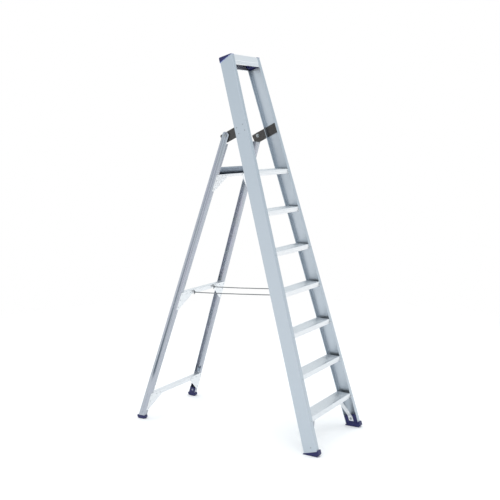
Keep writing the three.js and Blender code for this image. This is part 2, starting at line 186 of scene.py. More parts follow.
@dataclass(frozen=True)
class ExtrudedAluminium(Finish):
    """6063 aluminium as it leaves the die.

    Die lines run along each bar, the skin is cloudy from handling, and the corners are rubbed bright.
    """

    colour: str = "EFF3F3"
    cloud: str = "E1E7E8"
    worn: str = "F8F9F9"
    roughness: float = 0.44
    die_pitch: float = 1.6 * MM     # real die lines are near 0.1 mm; drawn coarser so that they show
    die_depth: float = 0.035 * MM
    # Painted shade: the next three values give a stretch along the bar that is darkened, its soft ends and
    # its darker colour; inside is how much of that shade falls on faces other than the outer face.
    painted_shade_span: tuple[float, float] = (0.0, 0.0)
    painted_shade_softening: tuple[float, float] = (0.1, 1.5)
    painted_shade_colour: str = "7E8894"
    inside: float = 0.45

    def paint(self, tree: bpy.types.NodeTree) -> bpy.types.Node:
        """Adds the finish's nodes.

        Args:
            tree: An empty material tree.

        Returns:
            The shader node.
        """
        lay = self.lay(tree)
        across = 1 / self.die_pitch
        drawn = add_node(tree, "ShaderNodeMapping", {"Vector": lay, "Scale": (across, across, 1 / 0.9)})
        lines = add_node(
            tree, "ShaderNodeTexNoise", {"Vector": drawn.outputs[0], "Scale": 1.0, "Detail": 3.0})
        clouds = add_node(
            tree, "ShaderNodeTexNoise", {"Vector": lay, "Scale": 1 / 0.07, "Detail": 4.0, "Roughness": 0.6})
        rubbed = add_node(tree, "ShaderNodeMapping", {"Vector": lay, "Scale": (420.0, 420.0, 26.0)})
        marks = add_node(
            tree, "ShaderNodeTexNoise", {"Vector": rubbed.outputs[0], "Scale": 1.0, "Detail": 1.0})
        scuffs = add_node(
            tree, "ShaderNodeValToRGB", {"Fac": marks.outputs["Fac"]},
            stops=[(0.70, grey(0.0)), (0.76, grey(0.7))])
        edges = corner_wear(tree, 1.3 * MM)
        toned = add_node(
            tree, "ShaderNodeMix",
            {"Factor": clouds.outputs["Fac"], 6: linear(self.colour), 7: linear(self.cloud)},
            data_type="RGBA")
        # Painted shade: a stretch of the bar is mixed towards a darker colour.
        if self.painted_shade_span[1] > self.painted_shade_span[0]:
            toned = add_node(
                tree, "ShaderNodeMix",
                {"Factor": self.painted_shade_mask(tree, lay), 6: toned.outputs[2], 7: linear(self.painted_shade_colour)},
                data_type="RGBA")
        lined = add_node(
            tree, "ShaderNodeMix", {"Factor": 0.18, 6: toned.outputs[2], 7: lines.outputs["Color"]},
            data_type="RGBA", blend_type="SOFT_LIGHT")
        wear = add_node(
            tree, "ShaderNodeMath", {0: edges, 1: scuffs.outputs[0]}, operation="MAXIMUM")
        bright = add_node(
            tree, "ShaderNodeMix",
            {"Factor": wear.outputs[0], 6: lined.outputs[2], 7: linear(self.worn)}, data_type="RGBA")
        matt = add_node(
            tree, "ShaderNodeMapRange",
            {"Value": lines.outputs["Fac"], "From Min": 0.3, "From Max": 0.7,
             "To Min": self.roughness - 0.07, "To Max": self.roughness + 0.07})
        smooth = add_node(
            tree, "ShaderNodeMath", {0: wear.outputs[0], 1: -0.1, 2: matt.outputs[0]},
            operation="MULTIPLY_ADD")
        relief = add_node(
            tree, "ShaderNodeBump",
            {"Height": lines.outputs["Fac"], "Distance": self.die_depth, "Strength": 0.6})
        return add_node(
            tree, "ShaderNodeBsdfPrincipled",
            {"Base Color": bright.outputs[2], "Metallic": 1.0, "Roughness": smooth.outputs[0],
             "Normal": relief.outputs[0]})

    def painted_shade_mask(self, tree: bpy.types.NodeTree, lay: bpy.types.NodeSocket) -> bpy.types.NodeSocket:
        """Adds nodes that find the stretch of a bar that is darkened as painted shade.

        Args:
            tree: The tree that the nodes join.
            lay: Each point's place on the material.

        Returns:
            An output that is 0 outside the stretch and rises softly inside it.
        """
        low, high = self.painted_shade_span
        soft_low, soft_high = self.painted_shade_softening
        parts = add_node(tree, "ShaderNodeSeparateXYZ", {0: lay})
        rise = add_node(
            tree, "ShaderNodeMapRange",
            {"Value": parts.outputs["Z"], "From Min": low, "From Max": low + soft_low},
            interpolation_type="SMOOTHSTEP")
        fall = add_node(
            tree, "ShaderNodeMapRange",
            {"Value": parts.outputs["Z"], "From Min": high - soft_high, "From Max": high,
             "To Min": 1.0, "To Max": 0.0})
        outer = add_node(
            tree, "ShaderNodeMapRange",
            {"Value": parts.outputs["X"], "From Min": 0.2 * MM, "From Max": 0.8 * MM,
             "To Min": 1.0, "To Max": self.inside})
        stretch = add_node(
            tree, "ShaderNodeMath", {0: rise.outputs[0], 1: fall.outputs[0]}, operation="MULTIPLY")
        return add_node(
            tree, "ShaderNodeMath", {0: stretch.outputs[0], 1: outer.outputs[0]},
            operation="MULTIPLY").outputs[0]


def corner_wear(tree: bpy.types.NodeTree, width: float) -> bpy.types.NodeSocket:
    """Adds nodes that find the corners of a piece.

    Args:
        tree: The tree that the nodes join.
        width: How far the wear reaches from a corner.

    Returns:
        An output that is 1 on corners and 0 on flat faces.
    """
    rounded_normal = add_node(tree, "ShaderNodeBevel", {"Radius": width}, samples=4)
    flat = add_node(tree, "ShaderNodeNewGeometry")
    turn = add_node(
        tree, "ShaderNodeVectorMath", {0: rounded_normal.outputs[0], 1: flat.outputs["True Normal"]},
        operation="DOT_PRODUCT")
    mask = add_node(
        tree, "ShaderNodeMapRange",
        {"Value": turn.outputs["Value"], "From Min": 0.995, "From Max": 0.9, "To Min": 0.0, "To Max": 0.7})
    return mask.outputs[0]


@dataclass(frozen=True)
class PressedAluminium(ExtrudedAluminium):
    """Sheet aluminium pressed to shape, for pieces with no grain of their own."""

    def lay(self, tree: bpy.types.NodeTree) -> bpy.types.NodeSocket:
        """Returns each point's place in the ladder, which serves for short pieces."""
        return add_node(tree, "ShaderNodeTexCoord").outputs["Object"]


@dataclass(frozen=True)
class PlatedSteel(Finish):
    """Pressed or turned steel with a plated skin: bright zinc, or dark passivated zinc.

    The plating is cloudy and rough where it grew thick, and thin on the corners.
    """

    colour: str = "C9C9C4"
    cloud: str = "B4B6B4"
    worn: str = "E6E6E2"
    roughness: float = 0.3

    def paint(self, tree: bpy.types.NodeTree) -> bpy.types.Node:
        """Adds the finish's nodes.

        Args:
            tree: An empty material tree.

        Returns:
            The shader node.
        """
        lay = self.lay(tree)
        clouds = add_node(
            tree, "ShaderNodeTexNoise", {"Vector": lay, "Scale": 1 / 0.012, "Detail": 5.0, "Roughness": 0.65})
        grain = add_node(
            tree, "ShaderNodeTexNoise", {"Vector": lay, "Scale": 1 / (0.9 * MM), "Detail": 2.0})
        toned = add_node(
            tree, "ShaderNodeMix",
            {"Factor": clouds.outputs["Fac"], 6: linear(self.colour), 7: linear(self.cloud)},
            data_type="RGBA")
        bright = add_node(
            tree, "ShaderNodeMix",
            {"Factor": corner_wear(tree, 0.8 * MM), 6: toned.outputs[2], 7: linear(self.worn)},
            data_type="RGBA")
        matt = add_node(
            tree, "ShaderNodeMapRange",
            {"Value": clouds.outputs["Fac"], "From Min": 0.3, "From Max": 0.7,
             "To Min": self.roughness - 0.08, "To Max": self.roughness + 0.1})
        relief = add_node(
            tree, "ShaderNodeBump",
            {"Height": grain.outputs["Fac"], "Distance": 0.04 * MM, "Strength": 0.5})
        return add_node(
            tree, "ShaderNodeBsdfPrincipled",
            {"Base Color": bright.outputs[2], "Metallic": 1.0, "Roughness": matt.outputs[0],
             "Normal": relief.outputs[0]})


@dataclass(frozen=True)
class MouldedPolypropylene(Finish):
    """Injection-moulded polypropylene with a spark-eroded skin.

    It has a fine grain and a soft sheen, is a little greyer where the melt met, and has scuffed corners.
    """

    colour: str = "10134A"
    pale: str = "161A58"
    worn: str = "2E3368"
    roughness: float = 0.42
    grain: float = 0.7 * MM

    def paint(self, tree: bpy.types.NodeTree) -> bpy.types.Node:
        """Adds the finish's nodes.

        Args:
            tree: An empty material tree.

        Returns:
            The shader node.
        """
        lay = self.lay(tree)
        flow = add_node(
            tree, "ShaderNodeTexNoise", {"Vector": lay, "Scale": 1 / 0.03, "Detail": 3.0, "Distortion": 1.2})
        pits = add_node(tree, "ShaderNodeTexVoronoi", {"Vector": lay, "Scale": 1 / self.grain})
        toned = add_node(
            tree, "ShaderNodeMix",
            {"Factor": flow.outputs["Fac"], 6: linear(self.colour), 7: linear(self.pale)}, data_type="RGBA")
        scuffed = add_node(
            tree, "ShaderNodeMix",
            {"Factor": corner_wear(tree, 1.0 * MM), 6: toned.outputs[2], 7: linear(self.worn)},
            data_type="RGBA")
        matt = add_node(
            tree, "ShaderNodeMapRange",
            {"Value": flow.outputs["Fac"], "From Min": 0.3, "From Max": 0.7,
             "To Min": self.roughness - 0.06, "To Max": self.roughness + 0.1})
        relief = add_node(
            tree, "ShaderNodeBump",
            {"Height": pits.outputs["Distance"], "Distance": 0.08 * MM, "Strength": 0.5})
        return add_node(
            tree, "ShaderNodeBsdfPrincipled",
            {"Base Color": scuffed.outputs[2], "Roughness": matt.outputs[0], "IOR": 1.49,
             "Normal": relief.outputs[0]})


@dataclass(frozen=True)
class BraidedPolyester(Finish):
    """Braided polyester cord: two sets of strands cross over each other, with painted shade between them."""

    colour: str = "7C8084"
    shade: str = "4A4D50"
    strands: float = 8.0
    lead: float = 14 * MM           # length of cord in which a strand goes once round

    def paint(self, tree: bpy.types.NodeTree) -> bpy.types.Node:
        """Adds the finish's nodes.

        Args:
            tree: An empty material tree.

        Returns:
            The shader node.
        """
        lay = self.lay(tree)
        parts = add_node(tree, "ShaderNodeSeparateXYZ", {0: lay})
        turns = add_node(
            tree, "ShaderNodeMath", {0: parts.outputs["Z"], 1: math.tau / self.lead}, operation="MULTIPLY")
        waves = []
        for way in (1.0, -1.0):
            wound = add_node(
                tree, "ShaderNodeMath",
                {0: turns.outputs[0], 1: way * self.strands, 2: 0.0}, operation="MULTIPLY_ADD")
            angle = add_node(
                tree, "ShaderNodeMath",
                {0: parts.outputs["X"], 1: self.strands, 2: wound.outputs[0]}, operation="MULTIPLY_ADD")
            waves.append(add_node(tree, "ShaderNodeMath", {0: angle.outputs[0]}, operation="SINE"))
        weave = add_node(
            tree, "ShaderNodeMath", {0: waves[0].outputs[0], 1: waves[1].outputs[0]}, operation="MULTIPLY")
        height = add_node(
            tree, "ShaderNodeMapRange", {"Value": weave.outputs[0], "From Min": -1.0, "From Max": 1.0})
        # Painted shade: the hollows between strands take the darker colour.
        toned = add_node(
            tree, "ShaderNodeMix",
            {"Factor": height.outputs[0], 6: linear(self.shade), 7: linear(self.colour)}, data_type="RGBA")
        relief = add_node(
            tree, "ShaderNodeBump", {"Height": height.outputs[0], "Distance": 0.4 * MM, "Strength": 0.8})
        return add_node(
            tree, "ShaderNodeBsdfPrincipled",
            {"Base Color": toned.outputs[2], "Roughness": 0.8, "IOR": 1.55, "Sheen Weight": 0.3,
             "Normal": relief.outputs[0]})


@dataclass(frozen=True)
class StudioPaper(Finish):
    """Matt white seamless paper, which fades out far from the object so that no edge shows."""

    colour: str = "FDFDFD"
    near: float = 1.6
    far: float = 4.5

    def paint(self, tree: bpy.types.NodeTree) -> bpy.types.Node:
        """Adds the finish's nodes.

        Args:
            tree: An empty material tree.

        Returns:
            The shader node.
        """
        place = add_node(tree, "ShaderNodeTexCoord").outputs["Object"]
        reach = add_node(tree, "ShaderNodeVectorMath", {0: place}, operation="LENGTH")
        fade = add_node(
            tree, "ShaderNodeMapRange",
            {"Value": reach.outputs["Value"], "From Min": self.near, "From Max": self.far},
            interpolation_type="SMOOTHSTEP")
        fibre = add_node(tree, "ShaderNodeTexNoise", {"Vector": place, "Scale": 90.0, "Detail": 4.0})
        relief = add_node(
            tree, "ShaderNodeBump", {"Height": fibre.outputs["Fac"], "Distance": 0.2 * MM, "Strength": 0.3})
        paper = add_node(
            tree, "ShaderNodeBsdfDiffuse", {"Color": linear(self.colour), "Normal": relief.outputs[0]})
        clear = add_node(tree, "ShaderNodeBsdfTransparent")
        return add_node(
            tree, "ShaderNodeMixShader", {0: fade.outputs[0], 1: paper.outputs[0], 2: clear.outputs[0]})


# The frame has plain materials named mill_aluminium and bright_aluminium. Finish.material() finds those by
# name, so MILL and BRIGHT show as the frame's plain ones until they are given names of their own.
# Painted shade: MILL's stiles are darker towards their tops, on all their faces.
MILL = ExtrudedAluminium(
    "mill_aluminium", "mill_aluminium", painted_shade_span=(1.7, 9.0), painted_shade_softening=(0.6, 1.0), painted_shade_colour="B4BBBB",
    inside=1.0)
BRIGHT = ExtrudedAluminium(     # its name is also a frame material's, as above
    "bright_aluminium", "bright_aluminium", colour="DFE2E3", cloud="D3D7D9", worn="EDEEEE", roughness=0.4)
# Painted shade: the legs' aluminium is a darker copy of the stiles', and darker still along a stretch above
# their feet that fades towards their tops, most of all on their outer faces.
LEG = ExtrudedAluminium(
    "leg_aluminium", "mill_aluminium", colour="B3B7BF", cloud="A2A7B1", worn="C9CCD3", roughness=0.3,
    painted_shade_span=(0.06, 2.2), painted_shade_softening=(0.1, 2.1), painted_shade_colour="5C6671")
# Painted shade: a darker copy of the aluminium, for the shaded trough of the top cross member and for the
# cleats in the shade inside the legs.
PAINTED_SHADE_ALUMINIUM = ExtrudedAluminium(
    "aluminium_painted_shade", "mill_aluminium", colour="8E99A6", cloud="7C8896", worn="C4CBD2", roughness=0.42)
# Painted light: the cleats are coloured light to soften the shade in their troughs at the tread ends.
CLEAT = PressedAluminium(
    "pressed_aluminium", "bright_aluminium", colour="F0F2F3", cloud="E3E6E9", worn="FAFAFB", roughness=0.42)
RIVET = ExtrudedAluminium(
    "rivet_aluminium", "bright_aluminium", colour="9FA6AC", cloud="8E959C", worn="C9CED2", roughness=0.4)
BLACK_STEEL = PlatedSteel(
    "passivated_steel", "dark_steel", colour="605E5D", cloud="3B3A39", worn="7C7A79", roughness=0.46)
ZINC = PlatedSteel("zinc_plated_steel", "zinc_steel", colour="A6ABAD", cloud="868C90", worn="CFD2D2")
NAVY = MouldedPolypropylene("navy_polypropylene", "navy_plastic")
# Painted highlight: a lighter blue for the caps' rims, where the navy plastic catches light.
PAINTED_HIGHLIGHT_BLUE = MouldedPolypropylene(
    "light_blue_polypropylene", "navy_plastic", colour="6C7FC0", pale="7F92CE", worn="A5B3DE")
BRAID = BraidedPolyester("grey_braid", "grey_cord")
PAPER = StudioPaper("seamless_paper", "")


# Shapes


def rounded(corners: Sequence[tuple[float, float, float]], steps: int = 3) -> Loop:
    """Rounds the corners of a closed outline.

    Args:
        corners: Each corner's place and radius, in order.
        steps: How many straight pieces make one arc.

    Returns:
        The rounded outline.
    """
    loop: Loop = []
    count = len(corners)
    for number, (u, v, radius) in enumerate(corners):
        here = Vector((u, v))
        back = Vector(corners[number - 1][:2]) - here
        ahead = Vector(corners[(number + 1) % count][:2]) - here
        if radius <= 0:
            loop.append((u, v))
            continue
        half_angle = back.angle(ahead) / 2
        if half_angle > math.radians(88):
            loop.append((u, v))
            continue
        back.normalize()
        ahead.normalize()
        start = here + back * (radius / math.tan(half_angle))
        end = here + ahead * (radius / math.tan(half_angle))
        centre = here + (back + ahead).normalized() * (radius / math.sin(half_angle))
        first = start - centre
        turn = first.angle_signed(end - centre)
        for step in range(steps + 1):
            spoke = first.copy()
            spoke.rotate(Matrix.Rotation(-turn * step / steps, 2))
            loop.append(tuple(centre + spoke))
    return loop


def rectangle(low: Point, high: Point, radius: float) -> Loop:
    """Returns a rounded rectangle, given by its lowest and highest corner."""
    return rounded([
        (low[0], low[1], radius), (high[0], low[1], radius), (high[0], high[1], radius),
        (low[0], high[1], radius)])


def circle(centre: Point, radius: float, sides: int = 24) -> Loop:
    """Returns a circle as a loop of straight pieces."""
    turns = [math.tau * step / sides for step in range(sides)]
    return [(centre[0] + radius * math.cos(t), centre[1] + radius * math.sin(t)) for t in turns]


class Skin:
    """The surface of one piece while it is made, with each point's place on its own material."""

    def __init__(self) -> None:
        """Starts an empty surface."""
        self.mesh = bmesh.new()
        self.lay = self.mesh.verts.layers.float_vector.new("lay")

    def point(self, place: Vector, lay: Sequence[float]) -> bmesh.types.BMVert:
        """Adds one point.

        Args:
            place: Where it is in the row frame.
            lay: Where it is on the material: two distances across the grain and one along it.

        Returns:
            The point.
        """
        vertex = self.mesh.verts.new(place)
        vertex[self.lay] = lay
        return vertex

    def wall(self, first: list, second: list) -> None:
        """Joins two rings of points with a band of faces.

        Args:
            first: One ring's points, in order.
            second: The other ring's points, as many and in the same order.
        """
        count = len(first)
        for i in range(count):
            j = (i + 1) % count
            corners = [first[i], first[j], second[j], second[i]]
            distinct = [c for n, c in enumerate(corners) if c not in corners[:n]]
            if len(distinct) > 2:
                self.mesh.faces.new(distinct)

    def prism(self, loops: Sequence[Loop], stations: Sequence[Placer], grain: Vector) -> "Skin":
        """Runs a section through a row of stations and closes both ends.

        Args:
            loops: The section's outline, and then any holes in it.
            stations: For each stop, what turns a point of the section to a place.
            grain: The direction that the material was drawn in.

        Returns:
            This skin.
        """
        ends: tuple[list, list] = ([], [])
        for loop in loops:
            rings = []
            for place in stations:
                spots = [place(u, v) for u, v in loop]
                rings.append([self.point(p, (u, v, p.dot(grain))) for p, (u, v) in zip(spots, loop)])
            for first, second in zip(rings, rings[1:]):
                self.wall(first, second)
            for end, ring in zip(ends, (rings[0], rings[-1])):
                end.extend(
                    self.mesh.edges.get((ring[i - 1], ring[i])) for i in range(len(ring)))
        for end in ends:
            bmesh.ops.triangle_fill(self.mesh, use_beauty=True, edges=end)
        return self

    def turned(
        self, centre: Vector, axis: Vector, profile: Sequence[Point], sides: int = 20
    ) -> "Skin":
        """Turns a profile about an axis.

        Args:
            centre: The point on the axis at height 0.
            axis: The way that heights go up.
            profile: Radii and heights, from one end to the other, both ends on the axis.
            sides: How many flats go round.

        Returns:
            This skin.
        """
        rings = [self.ring(centre, axis, radius, height, sides) for radius, height in profile]
        for first, second in zip(rings, rings[1:]):
            self.wall(first, second)
        return self

    def collar(self, centre: Vector, axis: Vector, profile: Sequence[Point], sides: int) -> "Skin":
        """Turns a closed profile that stays clear of the axis, such as a washer's.

        Args:
            centre: The point on the axis at height 0.
            axis: The way that heights go up.
            profile: Radii and heights around the closed profile.
            sides: How many flats go round.

        Returns:
            This skin.
        """
        rings = [self.ring(centre, axis, radius, height, sides) for radius, height in profile]
        for first, second in zip(rings, rings[1:] + rings[:1]):
            self.wall(first, second)
        return self

    def ring(self, centre: Vector, axis: Vector, radius: float, height: float, sides: int) -> list:
        """Adds one ring of points about an axis.

        Args:
            centre: The point on the axis at height 0.
            axis: The way that heights go up.
            radius: The ring's radius; at 0 the ring is one point.
            height: How far up the axis it lies.
            sides: How many points go round.

        Returns:
            The ring's points, in order.
        """
        up = axis.normalized()
        middle = centre + up * height
        if radius < 1e-7:
            return [self.point(middle, (0.0, 0.0, height))] * sides
        right = up.orthogonal().normalized()
        front = up.cross(right)
        return [
            self.point(
                middle + (right * math.cos(t) + front * math.sin(t)) * radius,
                (radius * math.cos(t), radius * math.sin(t), height))
            for t in (math.tau * step / sides for step in range(sides))]

    def rivet(self, centre: Vector, axis: Vector, radius: float, height: float) -> "Skin":
        """Adds a low domed head whose foot sinks just under the surface.

        Args:
            centre: The middle of its foot.
            axis: The way that it stands out.
            radius: Its radius at the foot.
            height: How far it stands out.

        Returns:
            This skin.
        """
        steps = 4
        arc = [math.pi / 2 * step / steps for step in range(steps + 1)]
        dome = [(radius * math.cos(t), height * math.sin(t)) for t in arc[:-1]] + [(0.0, height)]
        return self.turned(centre, axis, [(0.0, -0.4 * MM), (radius * 0.96, -0.4 * MM)] + dome, sides=16)

    def tube(self, path: Sequence[Vector], radius: float, sides: int = 12, closed: bool = False) -> "Skin":
        """Runs a round section along a path.

        Args:
            path: The points that its middle follows.
            radius: Half its thickness.
            sides: How many flats go round.
            closed: Whether the path's end joins its start.

        Returns:
            This skin.
        """
        count = len(path)
        normal = (path[1] - path[0]).orthogonal().normalized()
        run = 0.0
        rings = []
        for i, here in enumerate(path):
            back = path[i - 1] if i or closed else here
            ahead = path[(i + 1) % count] if i < count - 1 or closed else here
            along = (ahead - back).normalized()
            normal = (normal - along * normal.dot(along)).normalized()
            side = along.cross(normal)
            run += (here - path[i - 1]).length if i else 0.0
            turns = [math.tau * step / sides for step in range(sides)]
            rings.append([
                self.point(here + (normal * math.cos(t) + side * math.sin(t)) * radius, (t, 0.0, run))
                for t in turns])
        for first, second in zip(rings, rings[1:]):
            self.wall(first, second)
        if closed:
            gaps = [sum((rings[-1][i].co - rings[0][(i + k) % sides].co).length for i in range(sides))
                    for k in range(sides)]
            shift = gaps.index(min(gaps))
            self.wall(rings[-1], rings[0][shift:] + rings[0][:shift])
            return self
        for ring, way in ((rings[0], path[0] - path[1]), (rings[-1], path[-1] - path[-2])):
            middle = sum((v.co for v in ring), Vector()) / sides
            tip = self.point(middle + way.normalized() * radius * 0.5, ring[0][self.lay])
            for i in range(sides):
                self.mesh.faces.new((ring[i - 1], ring[i], tip))
        return self

    def soften(self, width: float, steps: int = 2, sharper_than: float = 35.0) -> "Skin":
        """Rounds every edge that turns by more than an angle.

        Args:
            width: The radius of the rounding.
            steps: How many faces go round it.
            sharper_than: The least turn to round, in degrees.

        Returns:
            This skin.
        """
        bmesh.ops.dissolve_limit(
            self.mesh, angle_limit=math.radians(0.5), verts=self.mesh.verts[:], edges=self.mesh.edges[:])
        bmesh.ops.recalc_face_normals(self.mesh, faces=self.mesh.faces[:])
        sharp = [
            e for e in self.mesh.edges
            if e.is_manifold and e.calc_face_angle(0.0) > math.radians(sharper_than)]
        bmesh.ops.bevel(
            self.mesh, geom=sharp, offset=width, offset_type="OFFSET", segments=steps, profile=0.5,
            affect="EDGES", clamp_overlap=True)
        return self

    def piece(
        self,
        name: str,
        finish: Finish,
        body: Optional[Body],
        stands_for: Sequence[str] = (),
        cutters: Sequence["Skin"] = (),
        smooth_below: float = 32.0,
    ) -> bpy.types.Object:
        """Turns the surface to a dressed object that rides on its body.

        Args:
            name: The object's name.
            finish: What it is made of.
            body: What it rides on, or None for a piece that rides on no body.
            stands_for: The CAD nodes that it replaces.
            cutters: Closed skins that are cut out of it.
            smooth_below: Edges that turn by less than this many degrees are shaded smooth.

        Returns:
            The object.
        """
        thing = self.bare_object(name)
        for number, cutter in enumerate(cutters):
            carve(thing, cutter.bare_object(f"{name}_cutter_{number}"))
        shade(thing.data, smooth_below)
        if body:
            level_flats(thing)
        thing.data.materials.clear()
        thing.data.materials.append(finish.material())
        if body:
            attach(thing, body.value)
        for node in stands_for:
            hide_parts(node)
        LOG.info("%s: %d faces", name, len(thing.data.polygons))
        return thing

    def bare_object(self, name: str) -> bpy.types.Object:
        """Turns the surface to an object with no finish, and frees it.

        Args:
            name: The object's name.

        Returns:
            The object.
        """
        bmesh.ops.recalc_face_normals(self.mesh, faces=self.mesh.faces[:])
        data = bpy.data.meshes.new(name)
        self.mesh.to_mesh(data)
        self.mesh.free()
        thing = bpy.data.objects.new(name, data)
        bpy.context.scene.collection.objects.link(thing)
        return thing


def carve(thing: bpy.types.Object, cutter: bpy.types.Object) -> None:
    """Cuts one object out of another and removes the cutter.

    Args:
        thing: The object that is cut.
        cutter: The closed object that cuts it.
    """
    cut = thing.modifiers.new("cut", "BOOLEAN")
    cut.operation = "DIFFERENCE"
    cut.solver = "EXACT"
    cut.object = cutter
    settle(thing)
    bpy.data.objects.remove(cutter)


def level_flats(thing: bpy.types.Object) -> None:
    """Lets the large flat faces set the normals, so that only the roundings look curved.

    Args:
        thing: The object that is shaded.
    """
    weighted = thing.modifiers.new("weighted", "WEIGHTED_NORMAL")
    weighted.weight = 100
    weighted.keep_sharp = True
    settle(thing)


def settle(thing: bpy.types.Object) -> None:
    """Turns an object's modifiers into its own mesh.

    Args:
        thing: The object whose modifiers are applied.
    """
    bpy.context.view_layer.update()
    shaped = bpy.data.meshes.new_from_object(thing.evaluated_get(bpy.context.evaluated_depsgraph_get()))
    thing.modifiers.clear()
    thing.data = shaped


def shade(data: bpy.types.Mesh, smooth_below: float) -> None:
    """Shades a mesh smooth, apart from its sharp edges.

    Args:
        data: The mesh.
        smooth_below: Edges that turn by less than this many degrees are shaded smooth.
    """
    surface = bmesh.new()
    surface.from_mesh(data)
    for face in surface.faces:
        face.smooth = True
    for edge in surface.edges:
        turn = edge.calc_face_angle(math.pi) if edge.is_manifold else math.pi
        edge.smooth = turn < math.radians(smooth_below)
    surface.to_mesh(data)
    surface.free()


@dataclass(frozen=True)
class LeaningFrame:
    """The axes of one leaning frame: depth goes to the rear, and slope goes up along its sides."""

    lean: float
    pivot: Vector
    pivot_depth: float
    pivot_slope: float
    base: float
    taper: float
    body: Body

    def at(self, x: float, depth: float, slope: float) -> Vector:
        """Places a point of the frame in the row frame.

        Args:
            x: How far it lies to the climber's right.
            depth: How far back it lies from the frame's front face.
            slope: How far up the frame it lies.

        Returns:
            The point.
        """
        back = depth - self.pivot_depth
        up = slope - self.pivot_slope
        cos, sin = math.cos(self.lean), math.sin(self.lean)
        return Vector((x, self.pivot.y + back * cos + up * sin, self.pivot.z + up * cos - back * sin))

    def half(self, slope: float) -> float:
        """Returns half the frame's outer width at a slope."""
        return self.base - self.taper * slope

    def beside(self, side: Side, inset: float, depth: float, slope: float) -> Vector:
        """Returns a point that is an inset in from one side's outer face."""
        return self.at(side.value * (self.half(slope) - inset), depth, slope)

    def cross_spot(self, side: Side, slope: float) -> Placer:
        """Returns what places a point of a section, given in inset and depth, at a slope."""
        return lambda inset, depth: self.beside(side, inset, depth, slope)

    def side_spot(self, side: Side, inset: float) -> Placer:
        """Returns what places a point given in depth and slope at an inset."""
        return lambda depth, slope: self.beside(side, inset, depth, slope)

    def slope_at(self, depth: float, height: float) -> float:
        """Returns the slope of the point at a depth that has a height above the floor."""
        back = depth - self.pivot_depth
        return self.pivot_slope + (height - self.pivot.z + back * math.sin(self.lean)) / math.cos(self.lean)

    def level(self, run: float, height: float) -> Point:
        """Turns level distances to the frame's own.

        Args:
            run: How far back the point lies from the foot line.
            height: How high it lies over the floor.

        Returns:
            Its depth and slope.
        """
        foot_slope = self.slope_at(0.0, 0.0)
        cos, sin = math.cos(self.lean), math.sin(self.lean)
        return run * cos - height * sin, foot_slope + run * sin + height * cos

    @property
    def up(self) -> Vector:
        """The direction of rising slope."""
        return self.at(0, 0, 1) - self.at(0, 0, 0)

    @property
    def rear(self) -> Vector:
        """The direction of growing depth."""
        return self.at(0, 1, 0) - self.at(0, 0, 0)

    def out(self, side: Side) -> Vector:
        """The direction square to one side's outer face."""
        across = Vector((side.value, 0.0, 0.0))
        return (across + self.up * self.taper).normalized()


def fold_pivot() -> Vector:
    """Returns the place of the hinge line."""
    joint = next(j for j in frame["joints"] if j["name"] == "fold")
    return Vector(joint["pos_m"])


def front_axes() -> LeaningFrame:
    """Returns the front frame's axes."""
    return LeaningFrame(
        lean=math.radians(16.25), pivot=fold_pivot(), pivot_depth=0.160, pivot_slope=1.995, base=0.315,
        taper=0.0595, body=Body.FRONT)


def rear_axes() -> LeaningFrame:
    """Works out the rear frame's axes, its foot line on the floor.

    Returns:
        The axes.
    """
    lean = math.radians(18.2)
    pivot = fold_pivot()
    depth = 0.023
    slope = (pivot.z - depth * math.sin(lean)) / math.cos(lean)
    return LeaningFrame(
        lean=-lean, pivot=pivot, pivot_depth=depth, pivot_slope=slope, base=0.305, taper=0.0523,
        body=Body.REAR)


FRONT = front_axes()
REAR = rear_axes()
GAP = 0.3 * MM
ACROSS = Vector((1.0, 0.0, 0.0))


def channel(
    depth: float, flange: float, web: float, wall: float, corner: float, web_grooves: Sequence[float] = ()
) -> Loop:
    """Returns a channel section in inset and depth, its web on the outside.

    Args:
        depth: Its width across the web.
        flange: How far its flanges reach in.
        web: The web's thickness.
        wall: The flanges' thickness.
        corner: The radius of its outer corners.
        web_grooves: The depths of the shallow grooves along its outer face.

    Returns:
        The section's outline.
    """
    tip = corner * 0.4
    dent = 0.5 * MM
    front = []
    for place in (flange * 0.24, flange * 0.76):
        front += [(place - 0.6 * MM, 0.0, 0.0), (place, dent, 0.0), (place + 0.6 * MM, 0.0, 0.0)]
    back = [(u, depth - v, r) for u, v, r in reversed(front)]
    outside = []
    for place in sorted(web_grooves, reverse=True):
        outside += [(0.0, place + MM, 0.0), (dent, place, 0.0), (0.0, place - MM, 0.0)]
    return rounded(
        [(0.0, 0.0, corner)] + front
        + [(flange, 0.0, tip), (flange, wall, tip), (web, wall, corner), (web, depth - wall, corner),
           (flange, depth - wall, tip), (flange, depth, tip)]
        + back + [(0.0, depth, corner)] + outside)


# Studio


